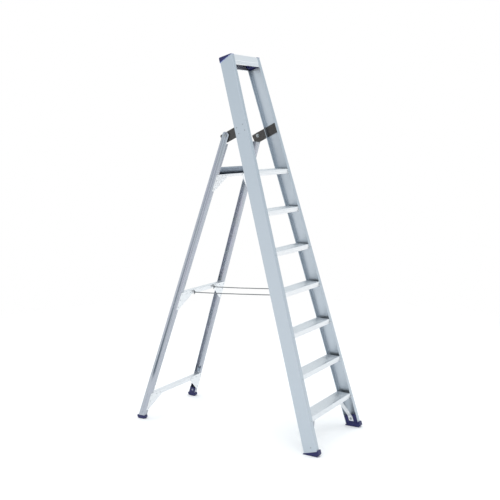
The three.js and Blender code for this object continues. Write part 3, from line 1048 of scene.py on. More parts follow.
@dataclass
class Studio:
    """The camera, the paper floor and the soft lights."""

    eye: Vector = field(default_factory=lambda: Vector((-4.5628, -2.7770, 1.8725)))
    aim: Vector = field(default_factory=lambda: Vector((0.8478, 0.5128, -0.1351)))
    lens: float = 60.55
    floor_reach: float = 12.0

    def place_camera(self) -> None:
        """Puts the camera in its place and makes it the scene's."""
        data = bpy.data.cameras.new("camera")
        data.lens = self.lens
        data.sensor_width = 36.0
        data.clip_end = 100.0
        camera = bpy.data.objects.new("camera", data)
        camera.location = self.eye
        camera.rotation_euler = self.aim.to_track_quat("-Z", "Y").to_euler()
        bpy.context.scene.collection.objects.link(camera)
        bpy.context.scene.camera = camera

    def lay_floor(self) -> None:
        """Lays a round sheet of paper on the ground."""
        skin = Skin()
        ring = [skin.point(Vector((u, v, -1 * MM)), (u, v, 0.0))
                for u, v in circle((0.0, 0.0), self.floor_reach, 64)]
        skin.mesh.faces.new(ring)
        floor = skin.bare_object("floor")
        for face in floor.data.polygons:
            if face.normal.z < 0:
                floor.data.flip_normals()
                break
        floor.data.materials.append(PAPER.material())

    def light(self) -> None:
        """Adds the soft boxes and the white surround."""
        boxes = [
            ("key", (-2.4, -1.6, 5.0), (0.0, 0.0, 1.0), 3.4, 34.0),
            ("top", (0.4, 1.0, 5.4), (0.0, 0.0, 0.8), 3.2, 40.0),
        ]
        for name, place, target, size, power in boxes:
            data = bpy.data.lights.new(name, "AREA")
            data.size = size
            data.energy = power
            lamp = bpy.data.objects.new(name, data)
            lamp.location = place
            lamp.rotation_euler = (Vector(target) - Vector(place)).to_track_quat("-Z", "Y").to_euler()
            lamp.visible_camera = False
            bpy.context.scene.collection.objects.link(lamp)

    def surround(self) -> None:
        """Makes the world: white where it is seen, and a soft room of light and grey walls for the rest."""
        world = bpy.data.worlds.new("studio")
        bpy.context.scene.world = world
        world.use_nodes = True
        tree = world.node_tree
        tree.nodes.clear()
        way = add_node(tree, "ShaderNodeTexCoord").outputs["Generated"]
        parts = add_node(tree, "ShaderNodeSeparateXYZ", {0: way})
        room = add_node(
            tree, "ShaderNodeValToRGB",
            {"Fac": add_node(
                tree, "ShaderNodeMapRange",
                {"Value": parts.outputs["Z"], "From Min": -1.0, "From Max": 1.0}).outputs[0]},
            stops=[(0.46, linear("FFFFFF")), (0.54, linear("E4E9EC")), (0.66, linear("CDD5DA")),
                   (0.9, linear("F2F4F5"))])
        seen = add_node(tree, "ShaderNodeBackground", {"Color": grey(1.0), "Strength": 1.0})
        felt = add_node(tree, "ShaderNodeBackground", {"Color": room.outputs[0], "Strength": 1.25})
        path = add_node(tree, "ShaderNodeLightPath")
        both = add_node(
            tree, "ShaderNodeMixShader",
            {0: path.outputs["Is Camera Ray"], 1: felt.outputs[0], 2: seen.outputs[0]})
        add_node(tree, "ShaderNodeOutputWorld", {"Surface": both.outputs[0]})

    def set_film(self) -> None:
        """Keeps colours plain, with no filmic curve."""
        bpy.context.scene.view_settings.view_transform = "Standard"
        bpy.context.scene.view_settings.look = "None"


# Restraint cords


@dataclass
class RestraintCords:
    """Two braided cords, each knotted under a tread and behind the middle cross member."""

    diameter: float = 6 * MM
    x: float = 0.115
    sag: tuple[Point, ...] = (
        (-0.314, 0.8996), (-0.266, 0.8955), (-0.224, 0.8925), (-0.182, 0.889), (-0.140, 0.886),
        (-0.098, 0.883), (-0.056, 0.880), (-0.014, 0.8765), (0.026, 0.874), (0.064, 0.8715),
        (0.102, 0.8685), (0.140, 0.866), (0.178, 0.864), (0.216, 0.8615), (0.254, 0.8595),
        (0.292, 0.8575), (0.327, 0.856))
    middle: int = 8
    knots: tuple[Point, Point] = ((-0.318, 0.900), (0.3367, 0.8556))
    knot_size: float = 5.6 * MM
    strand: float = 2.7 * MM
    tail_reach: tuple[float, ...] = (0.0, 5 * MM, 9 * MM, 14 * MM)
    bend_reach: float = 0.03

    def build(self) -> None:
        """Makes both cords and their knots."""
        for side in Side:
            knots = [self.knot(side, "front", self.knots[0]), self.knot(side, "rear", self.knots[1])]
            self.cord(side)

    def cord(self, side: Side) -> None:
        """Makes one cord along its sag, on no body.

        Args:
            side: Which cord.
        """
        coarse = [Vector((side.value * self.x, run, height)) for run, height in self.sag]
        fine = []
        for first, second in zip(coarse, coarse[1:]):
            fine += [first.lerp(second, step / 3) for step in range(3)]
        fine.append(coarse[-1])
        skin = Skin().tube(fine, self.diameter / 2)
        halves = [f"cord_{end}_half_{side.label}" for end in ("front", "rear")]
        rope = skin.piece(f"restraint_cord_{side.label}", BRAID, None, halves)
        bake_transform(rope)
        length = sum((b - a).length for a, b in zip(fine, fine[1:]))
        tuple(fine[0])
        [tuple(p) for p in fine]

    def knot(self, side: Side, end: str, place: Point) -> bpy.types.Object:
        """Ties one overhand knot.

        Args:
            side: Which cord.
            end: front or rear.
            place: Its run back and its height.

        Returns:
            The knot.
        """
        centre = Vector((side.value * self.x, *place))
        size = self.knot_size
        loop = []
        for step in range(48):
            t = math.tau * step / 48
            loop.append(centre + Vector((
                (math.sin(t) + 2 * math.sin(2 * t)) * size * 0.34,
                -math.sin(3 * t) * size * 0.7,
                (math.cos(t) - 2 * math.cos(2 * t)) * size * 0.34)))
        skin = Skin().tube(loop, self.strand, sides=10, closed=True)
        if end == "rear":
            for rise in (-1, 1):
                tail = [centre + Vector((0.0, 0.3 * reach, rise * reach)) for reach in self.tail_reach]
                skin.tube(tail, self.strand * 0.9, sides=10)
        body = Body.FRONT if end == "front" else Body.REAR
        beads = [f"cord_knot_rear_{side.label}"] if end == "rear" else []
        return skin.piece(f"knot_{end}_{side.label}", BRAID, body, beads, smooth_below=60)


# Front frame


@dataclass
class Stiles:
    """The two channel stiles, with the rivets through them."""

    axes: LeaningFrame
    depth: float = 90 * MM
    flange: float = 31 * MM
    web: float = 2.6 * MM
    wall: float = 3 * MM
    corner: float = 2.2 * MM
    foot: float = 0.033
    top_front: float = 2.460
    top_rear: float = 2.432
    slot_low: float = 1.962
    slot_high: float = 2.030
    slot_wide: float = 6 * MM
    hinge_rivets: tuple[Point, ...] = ((0.026, 2.027), (0.072, 2.019), (0.020, 1.989), (0.066, 1.981))
    foot_rivet: Point = (0.036, 0.060)
    rivet: float = 4.4 * MM

    def top(self, depth: float) -> float:
        """Returns the slope of the slanted top cut at a depth."""
        return self.top_front + (self.top_rear - self.top_front) * depth / self.depth

    def top_spot(self, side: Side, lift: float) -> Placer:
        """Returns what places a point of a section at a height over the top cut."""
        return lambda inset, depth: self.axes.beside(side, inset, depth, self.top(depth) + lift)

    def build(self) -> None:
        """Makes both stiles and their rivets."""
        for side in Side:
            self.stile(side)
            self.rivets(side)

    def stile(self, side: Side) -> None:
        """Makes one stile, with a slot in its rear flange for the hinge plate.

        Args:
            side: Which stile.
        """
        section = channel(self.depth, self.flange, self.web, self.wall, self.corner)
        ends = [self.axes.cross_spot(side, self.foot), self.top_spot(side, 0.0)]
        bar = Skin().prism([section], ends, self.axes.up)
        hole = rectangle(
            (self.web + 0.2 * MM, self.depth - self.wall - MM),
            (self.web + self.slot_wide, self.depth + MM), 0.0)
        slot_ends = [self.axes.cross_spot(side, slope) for slope in (self.slot_low, self.slot_high)]
        slot = Skin().prism([hole], slot_ends, self.axes.up)
        walls = [f"stile_{wall}_{side.label}" for wall in ("web", "front_flange", "rear_flange")]
        bar.piece(f"channel_stile_{side.label}", MILL, self.axes.body, walls, [slot])

    def rivets(self, side: Side) -> None:
        """Adds the domed rivets on the outer face.

        Args:
            side: Which stile.
        """
        skin = Skin()
        for depth, slope in self.hinge_rivets + (self.foot_rivet,):
            skin.rivet(self.axes.beside(side, 0, depth, slope), self.axes.out(side), self.rivet, 1.6 * MM)
        skin.piece(f"stile_rivets_{side.label}", RIVET, self.axes.body)


@dataclass
class Treads:
    """Seven extruded box treads, and the rivets that hold their cleats in the stiles."""

    axes: LeaningFrame
    stile: Stiles
    count: int = 7
    first_top: float = 0.222
    pitch: float = 0.240
    depth: float = 96 * MM
    height: float = 32 * MM
    wall: float = 2 * MM
    set_back: float = 9 * MM
    rib_pitch: float = 5 * MM
    rib_height: float = 0.9 * MM
    rivet: float = 3.4 * MM

    def build(self) -> None:
        """Makes the treads and their rivets."""
        for number in range(1, self.count + 1):
            self.tread(number)
            for side in Side:
                self.dress_cleat(number, side)
        for side in Side:
            self.rivets(side)

    def bottom(self, number: int) -> float:
        """Returns the height of a tread's underside."""
        return self.first_top + self.pitch * (number - 1) - self.height

    def front(self, number: int) -> float:
        """Returns a tread's run back from the stiles' foot line."""
        rise = self.bottom(number) * math.sin(self.axes.lean)
        return (self.set_back + rise) / math.cos(self.axes.lean)

    def section(self) -> Loop:
        """Draws a tread's section: a ribbed top, and a front lip with two shadow grooves.

        Returns:
            The outline, in run and height from its lowest front point.
        """
        deep, high, rib = self.depth, self.height, self.rib_height
        low = high - rib
        corners = [(0.0, 0.0, 2.5 * MM), (deep, 0.0, 2.5 * MM)]
        corners += [(deep, 13 * MM, 0.0), (deep - rib, 14 * MM, 0.0), (deep, 15 * MM, 0.0)]
        corners += [(deep, high, 5 * MM)]
        place = deep - 8 * MM
        while place - self.rib_pitch > 8 * MM:
            corners += [(place, high, 0.0), (place - 0.5 * MM, low, 0.0)]
            corners += [(place - 2.0 * MM, low, 0.0), (place - 2.5 * MM, high, 0.0)]
            place -= self.rib_pitch
        corners += [(0.0, high, 5 * MM)]
        for groove in (21 * MM, 10 * MM):
            corners += [(0.0, groove + 1.2 * MM, 0.0), (1.4 * MM, groove + 0.7 * MM, 0.0)]
            corners += [(1.4 * MM, groove - 0.7 * MM, 0.0), (0.0, groove - 1.2 * MM, 0.0)]
        return rounded(corners)

    def tread(self, number: int) -> None:
        """Makes one tread between the stiles' flanges.

        Args:
            number: Which tread, from the lowest up.
        """
        wall = self.wall
        inner = rectangle((wall, wall), (self.depth - wall, self.height - wall - MM), 2 * MM)
        skin = Skin().prism([self.section(), inner], [self.end(number, side) for side in Side], ACROSS)
        skin.piece(f"box_tread_{number}", BRIGHT, self.axes.body, [f"tread_{number}"])

    def end(self, number: int, side: Side) -> Placer:
        """Returns what places a point of a tread's section at one of its ends."""
        bottom, front, inset = self.bottom(number), self.front(number), self.stile.flange + GAP
        return lambda run, height: self.axes.beside(
            side, inset, *self.axes.level(front + run, bottom + height))

    def dress_cleat(self, number: int, side: Side) -> None:
        """Gives a tread's cleat its finish."""
        dress(f"tread_bracket_{number}_{side.label}", CLEAT)

    def rivets(self, side: Side) -> None:
        """Adds the rivets through both flanges into each cleat.

        Args:
            side: Which stile.
        """
        skin = Skin()
        for number in range(1, self.count + 1):
            height = self.bottom(number) + 12 * MM
            for depth, way in ((0.0, -self.axes.rear), (self.stile.depth, self.axes.rear)):
                slope = self.axes.slope_at(depth, height)
                spot = self.axes.beside(side, self.stile.flange / 2, depth, slope)
                skin.rivet(spot, way, self.rivet, 1.3 * MM)
        skin.piece(f"tread_rivets_{side.label}", RIVET, self.axes.body)


@dataclass
class Handrail:
    """The rail across the top, open underneath, and the moulded caps that close the stiles."""

    axes: LeaningFrame
    stile: Stiles
    bottom: float = 2.400
    height: float = 62 * MM
    depth: float = 88 * MM
    wall: float = 2.5 * MM
    lip: float = 8 * MM
    step: float = 1.5 * MM
    step_up: float = 22 * MM
    crown: float = 2.466
    proud: float = 2 * MM
    plug_low: float = 2.405
    rim: float = 3.2 * MM
    lug: float = 30 * MM

    def build(self) -> None:
        """Makes the rail and both caps."""
        self.rail()
        for side in Side:
            self.wedge(side)
            self.plug(side)

    def rail(self) -> None:
        """Makes the rail: a proud upper band on its front, and its lower edges turned in."""
        low, top = self.bottom, self.bottom + self.height
        step, back, wall, lip = self.step, self.depth, self.wall, self.lip
        corners = [
            (step, low, 1.2 * MM), (step + lip, low, 0.8 * MM), (step + lip, low + wall, 0.8 * MM),
            (step + wall, low + wall, MM), (step + wall, top - wall, MM), (back - wall, top - wall, MM),
            (back - wall, low + wall, MM), (back - lip, low + wall, 0.8 * MM), (back - lip, low, 0.8 * MM),
            (back, low, 1.2 * MM), (back, top, 3 * MM)]
        for place in (0.68, 0.5, 0.32):
            corners += [(back * place + MM, top, 0.0), (back * place, top - 0.7 * MM, 0.0)]
            corners += [(back * place - MM, top, 0.0)]
        corners += [(0.0, top, 3 * MM), (0.0, low + self.step_up + step, 0.6 * MM)]
        corners += [(step, low + self.step_up, 0.4 * MM)]
        ends = [self.axes.side_spot(side, self.stile.flange + GAP) for side in Side]
        Skin().prism([rounded(corners)], ends, ACROSS).piece("handrail", BRIGHT, self.axes.body, ["top_rail"])

    def wedge(self, side: Side) -> None:
        """Makes the part of one cap that shows: a wedge that is tall at the rear, over a rim in lighter blue
        as a painted highlight.

        Args:
            side: Which stile it closes.
        """
        deep, inner = self.stile.depth, self.stile.flange
        seat = [(depth, self.stile.top(depth) + GAP) for depth in (-MM, deep + self.proud)]
        line = [(-MM, seat[0][1] + 0.8 * MM), (deep + self.proud, seat[1][1] + self.rim)]
        crown = [
            (deep + self.proud, self.crown - 5 * MM), (deep - 4 * MM, self.crown),
            (self.proud, self.crown - 2 * MM), (-MM, self.crown - 3.6 * MM)]
        ends = [self.axes.side_spot(side, -MM), self.axes.side_spot(side, inner - MM)]
        head = Skin().prism([line + crown], ends, ACROSS).soften(1.6 * MM, 3)
        head.piece(f"cap_wedge_{side.label}", NAVY, self.axes.body, [f"top_cap_{side.label}"])
        # Painted highlight: the rim band is the navy plastic in a lighter blue, for the light it catches.
        ends = [self.axes.side_spot(side, -1.3 * MM), self.axes.side_spot(side, inner - MM)]
        band = Skin().prism([seat + line[::-1]], ends, ACROSS)
        band.piece(f"cap_rim_{side.label}", PAINTED_HIGHLIGHT_BLUE, self.axes.body)

    def plug(self, side: Side) -> None:
        """Makes the hidden part of one cap: a ribbed hollow plug in the stile and a lug in the rail.

        Args:
            side: Which stile it closes.
        """
        deep, inner, web, wall = self.stile.depth, self.stile.flange, self.stile.web, self.stile.wall
        low, high = (web + GAP, wall + GAP), (inner - MM, deep - wall - GAP)
        thin = 2.6 * MM
        foot, lid = self.axes.cross_spot(side, self.plug_low), self.stile.top_spot(side, MM)
        hollow = rectangle((low[0] + thin, low[1] + thin), (high[0] - thin, high[1] - thin), 2 * MM)
        plug = Skin().prism([rectangle(low, high, 2.5 * MM), hollow], [foot, lid], self.axes.up)
        for place in (0.33, 0.67):
            middle = low[1] + (high[1] - low[1]) * place
            rib = rectangle((low[0] + thin / 2, middle - MM), (high[0] - thin / 2, middle + MM), 0.0)
            plug.prism([rib], [self.axes.cross_spot(side, self.plug_low + 3 * MM), lid], self.axes.up)
        plug.piece(f"cap_plug_{side.label}", NAVY, self.axes.body)
        top = self.bottom + self.height - 5.5 * MM
        tongue = rectangle((12 * MM, self.plug_low + 4 * MM), (self.depth - 12 * MM, top), 4 * MM)
        ends = [self.axes.side_spot(side, inner - 2 * MM), self.axes.side_spot(side, inner + self.lug)]
        lug = Skin().prism([tongue], ends, ACROSS).soften(1.5 * MM)
        lug.piece(f"cap_lug_{side.label}", NAVY, self.axes.body)


@dataclass
class FrontFeet:
    """The moulded boots under the stiles, and the straps that brace them to the lowest tread."""

    axes: LeaningFrame
    stile: Stiles
    treads: Treads
    toe: float = 9 * MM
    heel: float = 97 * MM
    lip: float = 37 * MM
    seat: float = 32.7 * MM
    outer: float = -2 * MM
    inner: float = 34 * MM
    plug_top: float = 88 * MM
    strap_wide: float = 30 * MM
    strap_thick: float = 3 * MM
    strap_mid: float = 45 * MM
    tab_foot: float = 50 * MM
    tab_top: float = 84 * MM
    reach: float = 112 * MM
    top_tab: float = 34 * MM

    def build(self) -> None:
        """Makes the boots, their plugs and the straps."""
        for side in Side:
            self.boot(side)
            self.strap(side)

    def boot(self, side: Side) -> None:
        """Makes one boot: a wedge sole with a toe, and a plug that stands in the stile.

        Args:
            side: Which stile it carries.
        """
        toe, seat = self.toe, self.seat
        floor = [(depth, self.axes.slope_at(depth, 0.0)) for depth in (self.heel - MM, 6 * MM)]
        outline = [
            (-toe, self.lip), (-GAP, self.lip), (-GAP, seat), (self.heel - 3 * MM, seat),
            (self.heel, seat - 3 * MM), *floor, (2 * MM - toe, 9 * MM), (-toe, 14 * MM)]
        spot = self.axes.side_spot
        ends = [spot(side, self.outer), spot(side, self.inner)]
        sole = Skin().prism([outline], ends, ACROSS).soften(2.0 * MM, 3)
        treads = []
        for number in range(6):
            depth = 16 * MM + number * 13 * MM
            slope = self.axes.slope_at(depth, 0.0)
            gap = [(depth - 1.5 * MM, slope - 2.2 * MM), (depth + 1.5 * MM, slope - 1.4 * MM),
                   (depth + 1.5 * MM, slope + 2.6 * MM), (depth - 1.5 * MM, slope + 2.2 * MM)]
            treads.append(Skin().prism(
                [gap], [spot(side, self.outer - MM), spot(side, self.inner + MM)], ACROSS))
        sole.piece(f"boot_sole_{side.label}", NAVY, self.axes.body, [f"foot_front_{side.label}"], treads)
        web, wall, inner = self.stile.web, self.stile.wall, self.stile.flange
        low, high = (web + GAP, wall + GAP), (inner - 2 * MM, self.stile.depth - wall - GAP)
        plug = Skin().prism(
            [rectangle(low, high, 1.0 * MM)],
            [self.axes.cross_spot(side, seat - 2 * MM), self.axes.cross_spot(side, self.plug_top)],
            self.axes.up).soften(1.4 * MM)
        plug.piece(f"boot_plug_{side.label}", NAVY, self.axes.body)

    def strap(self, side: Side) -> None:
        """Makes one brace strap, bent at both ends, with its bolts.

        Args:
            side: Which boot it braces.
        """
        thick, reach, mid = self.strap_thick, self.reach, self.strap_mid
        inset = self.stile.flange - 2 * MM + GAP
        under = self.axes.slope_at(mid, self.treads.bottom(1)) - 2 * GAP
        loop = rounded([
            (inset, self.tab_foot, 0.0), (inset + thick, self.tab_foot, 0.0),
            (inset + thick, self.tab_top - MM, 4 * MM), (reach + MM, under - thick, 9 * MM),
            (reach + self.top_tab, under - thick, 0.0), (reach + self.top_tab, under, 0.0),
            (reach, under, 6 * MM), (inset, self.tab_top, 7 * MM)])
        edges = [self.strap_edge(side, way * self.strap_wide / 2) for way in (-1, 1)]
        skin = Skin().prism([loop], edges, self.axes.rear).soften(0.6 * MM, 2)
        skin.piece(f"brace_strap_{side.label}", BRIGHT, self.axes.body, [f"foot_brace_{side.label}"])
        bolts = Skin()
        inward = -self.axes.out(side)
        foot = self.axes.beside(side, inset + thick, mid, 66 * MM)
        bolts.turned(foot, inward, washer_and_dome(8.5 * MM, 5.2 * MM), sides=20)
        tab = self.axes.beside(side, reach + self.top_tab * 0.55, mid, under - thick)
        bolts.turned(tab, Vector((0, 0, -1)), washer_and_dome(7.5 * MM, 4.6 * MM), sides=20)
        bolts.piece(f"brace_bolts_{side.label}", ZINC, self.axes.body)

    def strap_edge(self, side: Side, across: float) -> Placer:
        """Returns what places a point of the strap's outline on one of its long edges."""
        depth, rise = self.strap_mid + across, across * math.tan(self.axes.lean)
        return lambda inset, slope: self.axes.beside(side, inset, depth, slope + rise)


def washer_and_dome(washer: float, head: float) -> list[Point]:
    """Returns the profile of a flat washer with a domed bolt head on it.

    Args:
        washer: The washer's radius.
        head: The head's radius.

    Returns:
        Radii and heights from the foot up.
    """
    thick = 1.4 * MM
    profile = [(0.0, -0.4 * MM), (washer, -0.4 * MM), (washer, thick - 0.3 * MM), (washer - 0.3 * MM, thick),
               (head, thick)]
    for step in range(1, 5):
        turn = math.pi / 2 * step / 5
        profile.append((head * math.cos(turn), thick + head * 0.62 * math.sin(turn)))
    return profile + [(0.0, thick + head * 0.62)]


@dataclass
class Hinges:
    """The steel plates that the rear frame hangs from, with their bolts and nuts."""

    axes: LeaningFrame
    rear: LeaningFrame
    stile: Stiles
    tilt: float = math.radians(9.5)
    front: float = 150 * MM
    back: float = 40 * MM
    above: float = 20 * MM
    below: float = 42 * MM
    thick: float = 5 * MM
    chamfer_back: float = 30 * MM
    chamfer_up: float = 20 * MM
    hole: float = 5.3 * MM
    shank: float = 5 * MM
    nut: float = 9 * MM
    washer: float = 12 * MM

    def build(self) -> None:
        """Makes both hinges."""
        for side in Side:
            self.plate(side)
            self.bolt(side)
            self.locknut(side)

    def spot(self, back: float, up: float) -> Point:
        """Returns the depth and slope of a point given from the pivot along the plate and across it."""
        cos, sin = math.cos(self.tilt), math.sin(self.tilt)
        return (self.axes.pivot_depth + back * cos + up * sin, self.axes.pivot_slope + up * cos - back * sin)

    @property
    def inset(self) -> float:
        """How far in the plate's outer face lies."""
        return self.stile.web + 0.5 * MM

    def plate(self, side: Side) -> None:
        """Makes one plate, its lower rear corner cut off.

        Args:
            side: Which stile it is riveted in.
        """
        corners = [
            (-self.front, -self.below, 6 * MM), (self.back - self.chamfer_back, -self.below, 8 * MM),
            (self.back, self.chamfer_up - self.below, 8 * MM), (self.back, self.above, 8 * MM),
            (-self.front, self.above, 6 * MM)]
        outline = [self.spot(*corner) for corner in rounded(corners, 4)]
        bore = circle((self.axes.pivot_depth, self.axes.pivot_slope), self.hole)
        faces = [self.axes.side_spot(side, self.inset + deep) for deep in (0.0, self.thick)]
        skin = Skin().prism([outline, bore], faces, self.axes.rear)
        skin.soften(0.5 * MM, 2, 50.0)
        skin.piece(f"hinge_bar_{side.label}", BLACK_STEEL, self.axes.body, [f"hinge_plate_{side.label}"])
        heads = Skin()
        for depth, slope in self.stile.hinge_rivets:
            heads.rivet(self.axes.beside(side, self.inset + self.thick, depth, slope), -self.axes.out(side),
                        4.6 * MM, 1.8 * MM)
        heads.piece(f"hinge_rivet_tails_{side.label}", BLACK_STEEL, self.axes.body)

    def ends(self, side: Side) -> tuple[Vector, Vector]:
        """Finds where a hinge bolt's head and nut sit.

        Args:
            side: Which hinge.

        Returns:
            The middle of the head's seat, and of the nut's.
        """
        outer = self.rear.half(self.rear.pivot_slope) + 1.2 * MM
        inner = self.axes.half(self.axes.pivot_slope) - self.inset - self.thick - 2 * MM
        pivot = self.axes.pivot
        return tuple(Vector((side.value * x, pivot.y, pivot.z)) for x in (outer, inner))

    def bolt(self, side: Side) -> None:
        """Makes one pivot bolt: a low domed head with a round socket, and a threaded end.

        Args:
            side: Which hinge.
        """
        head, nut = self.ends(side)
        out = ACROSS * side.value
        length = (head - nut).length
        radius = 9.5 * MM
        profile = [
            (0.0, -length - 11 * MM), (self.shank - MM, -length - 11 * MM), (self.shank, -length - 10 * MM)]
        for thread in range(7):
            foot = -length - 9 * MM + thread * 1.5 * MM
            profile += [(self.shank, foot), (self.shank - 0.7 * MM, foot + 0.75 * MM)]
        profile += [(self.shank, -length + 3 * MM), (self.shank, 0.0), (radius, 0.0), (radius, 1.6 * MM)]
        profile += [(radius * math.cos(t), 1.6 * MM + 3.2 * MM * math.sin(t)) for t in (0.35, 0.7, 1.05)]
        profile += [(3 * MM, 4.7 * MM), (3 * MM, 2.2 * MM), (0.0, 1.8 * MM)]
        skin = Skin().turned(head, out, profile, sides=24)
        skin.piece(f"hinge_bolt_{side.label}", ZINC, self.axes.body, [f"pivot_bolt_{side.label}"])

    def locknut(self, side: Side) -> None:
        """Makes one locking nut with its washer.

        Args:
            side: Which hinge.
        """
        _, seat = self.ends(side)
        way = -ACROSS * side.value
        seat = seat - way * MM
        nut, core = self.nut, self.shank + 0.2 * MM
        skin = Skin()
        rings = [(core, 0.0), (self.washer, 0.0), (self.washer, 1.6 * MM), (core, 1.6 * MM)]
        skin.collar(seat, way, rings, 28)
        body = [
            (core, 1.6 * MM), (nut * 0.96, 1.6 * MM), (nut, 2.3 * MM), (nut, 6.4 * MM),
            (nut * 0.9, 7.2 * MM), (core, 7.2 * MM)]
        skin.collar(seat, way, body, 6)
        skin.piece(f"hinge_nut_{side.label}", ZINC, self.axes.body, [f"pivot_nut_{side.label}"])


# Rear frame


@dataclass
class RearLegs:
    """The two channel legs of the rear frame, with their moulded feet."""

    axes: LeaningFrame
    depth: float = 46 * MM
    flange: float = 25 * MM
    web: float = 2.4 * MM
    wall: float = 2.4 * MM
    corner: float = 2.0 * MM
    cut_height: float = 22 * MM
    past: float = 22 * MM
    notch: float = 46 * MM
    hole: float = 5.3 * MM
    toe: float = 5 * MM
    heel: float = 9 * MM
    plug_top: float = 50 * MM
    panel_top: float = 57 * MM
    outer: float = -2.5 * MM
    inner: float = 28 * MM
    web_grooves: tuple[float, ...] = (14 * MM, 32 * MM)
    cleat_slope: float = 0.212
    cleat_length: float = 24 * MM

    def build(self) -> None:
        """Makes both legs and their feet."""
        for side in Side:
            self.leg(side)
            self.cleat(side)
            self.foot(side)

    def leg(self, side: Side) -> None:
        """Makes one leg, cut level at its foot, with only its web left round the hinge bolt.

        Args:
            side: Which leg.
        """
        pivot = self.axes.pivot_slope
        top = pivot + self.past
        section = channel(self.depth, self.flange, self.web, self.wall, self.corner, self.web_grooves)
        ends = [self.level_spot(side, self.cut_height), self.axes.cross_spot(side, top)]
        bar = Skin().prism([section], ends, self.axes.up)
        gone = rectangle((self.web + 0.2 * MM, -MM), (self.flange + MM, self.depth + MM), 0.0)
        notch = Skin().prism(
            [gone], [self.axes.cross_spot(side, slope) for slope in (pivot - self.notch, top + MM)],
            self.axes.up)
        corners = []
        for depth in (0.0, self.depth):
            inward = 12 * MM if depth == 0 else -12 * MM
            outside = depth - inward / 6
            corner = [(outside, top - 12 * MM), (outside, top + MM), (depth + inward, top + MM)]
            corners.append(Skin().prism(
                [corner], [self.axes.side_spot(side, -MM), self.axes.side_spot(side, self.web + MM)], ACROSS))
        bore = Skin().prism(
            [circle((self.axes.pivot_depth, pivot), self.hole)],
            [self.axes.side_spot(side, -5 * MM), self.axes.side_spot(side, self.web + 5 * MM)], ACROSS)
        bar.piece(
            f"channel_leg_{side.label}", LEG, self.axes.body, [f"rear_leg_{side.label}"],
            [notch, bore] + corners)

    def cleat(self, side: Side) -> None:
        """Makes the cleat inside the leg, over the lowest member, in darker aluminium that paints the shade
        there.

        Args:
            side: Which leg.
        """
        low, high = (self.web + GAP, self.wall + GAP), (self.flange - MM, self.depth * 0.6)
        ends = [self.axes.cross_spot(side, self.cleat_slope + way * self.cleat_length / 2) for way in (-1, 1)]
        skin = Skin().prism([rectangle(low, high, MM)], ends, self.axes.up).soften(1.0 * MM)
        # Painted shade: the cleat's darker finish stands for the shade inside the leg above the lowest
        # member.
        skin.piece(f"leg_cleat_{side.label}", PAINTED_SHADE_ALUMINIUM, self.axes.body)

    def level_spot(self, side: Side, height: float) -> Placer:
        """Returns what places a point of a section at a height above the floor."""
        return lambda inset, depth: self.axes.beside(side, inset, depth, self.axes.slope_at(depth, height))

    def run_at(self, depth: float, height: float) -> float:
        """Returns the run back of a point given by its depth and height."""
        lean = -self.axes.lean
        return (depth - height * math.sin(lean)) / math.cos(lean)

    def level(self, run: float, height: float) -> Point:
        """Turns level distances to the frame's own.

        Args:
            run: How far back the point lies.
            height: How high it lies over the floor.

        Returns:
            Its depth and slope.
        """
        lean = -self.axes.lean
        depth = run * math.cos(lean) + height * math.sin(lean)
        return depth, self.axes.slope_at(depth, height)

    def foot(self, side: Side) -> None:
        """Makes one foot: a boat-shaped sole, a plug in the leg and a panel over the leg's open side.

        Args:
            side: Which leg.
        """
        seat, spot = self.cut_height - GAP, self.level
        front, rear = self.run_at(0.0, seat) - self.toe, self.run_at(self.depth, seat) + self.heel
        outline = [
            spot(front, seat), spot(front, 8 * MM), spot(front + 6 * MM, 0.0), spot(rear - 12 * MM, 0.0),
            spot(rear, 9 * MM), spot(rear, seat)]
        sole = Skin().prism(
            [outline], [self.axes.side_spot(side, self.outer), self.axes.side_spot(side, self.inner)], ACROSS)
        sole.soften(1.8 * MM, 3)
        grooves = []
        for number in range(4):
            run = front + 16 * MM + number * 9 * MM
            gap = [spot(run - MM, -MM), spot(run + MM, -MM), spot(run + MM, 2 * MM), spot(run - MM, 2 * MM)]
            faces = [self.axes.side_spot(side, inset) for inset in (self.outer - MM, self.inner + MM)]
            grooves.append(Skin().prism([gap], faces, ACROSS))
        sole.piece(f"leg_foot_sole_{side.label}", NAVY, self.axes.body, [f"foot_rear_{side.label}"], grooves)
        low = (self.web + GAP, self.wall + GAP)
        high = (self.inner - MM, self.depth - self.wall - GAP)
        base = self.level_spot(side, seat - 2 * MM)
        plug_ends = [base, self.axes.cross_spot(side, self.plug_top)]
        plug = Skin().prism([rectangle(low, high, MM)], plug_ends, self.axes.up)
        plug.soften(1.2 * MM).piece(f"leg_foot_plug_{side.label}", NAVY, self.axes.body)
        cover = rectangle((self.flange + GAP, 0.0), (self.inner, self.depth), MM)
        panel = Skin().prism([cover], [base, self.axes.cross_spot(side, self.panel_top)], self.axes.up)
        panel.soften(0.8 * MM).piece(f"leg_foot_panel_{side.label}", NAVY, self.axes.body)
        rivets = Skin()
        middle = self.depth / 2
        rivets.rivet(self.axes.beside(side, 0.0, middle, 41 * MM), self.axes.out(side), 4.2 * MM, 1.6 * MM)
        rivets.rivet(
            self.axes.beside(side, self.inner, middle, 40 * MM), -self.axes.out(side), 6.5 * MM, 2.0 * MM)
        rivets.piece(f"leg_foot_rivets_{side.label}", RIVET, self.axes.body)


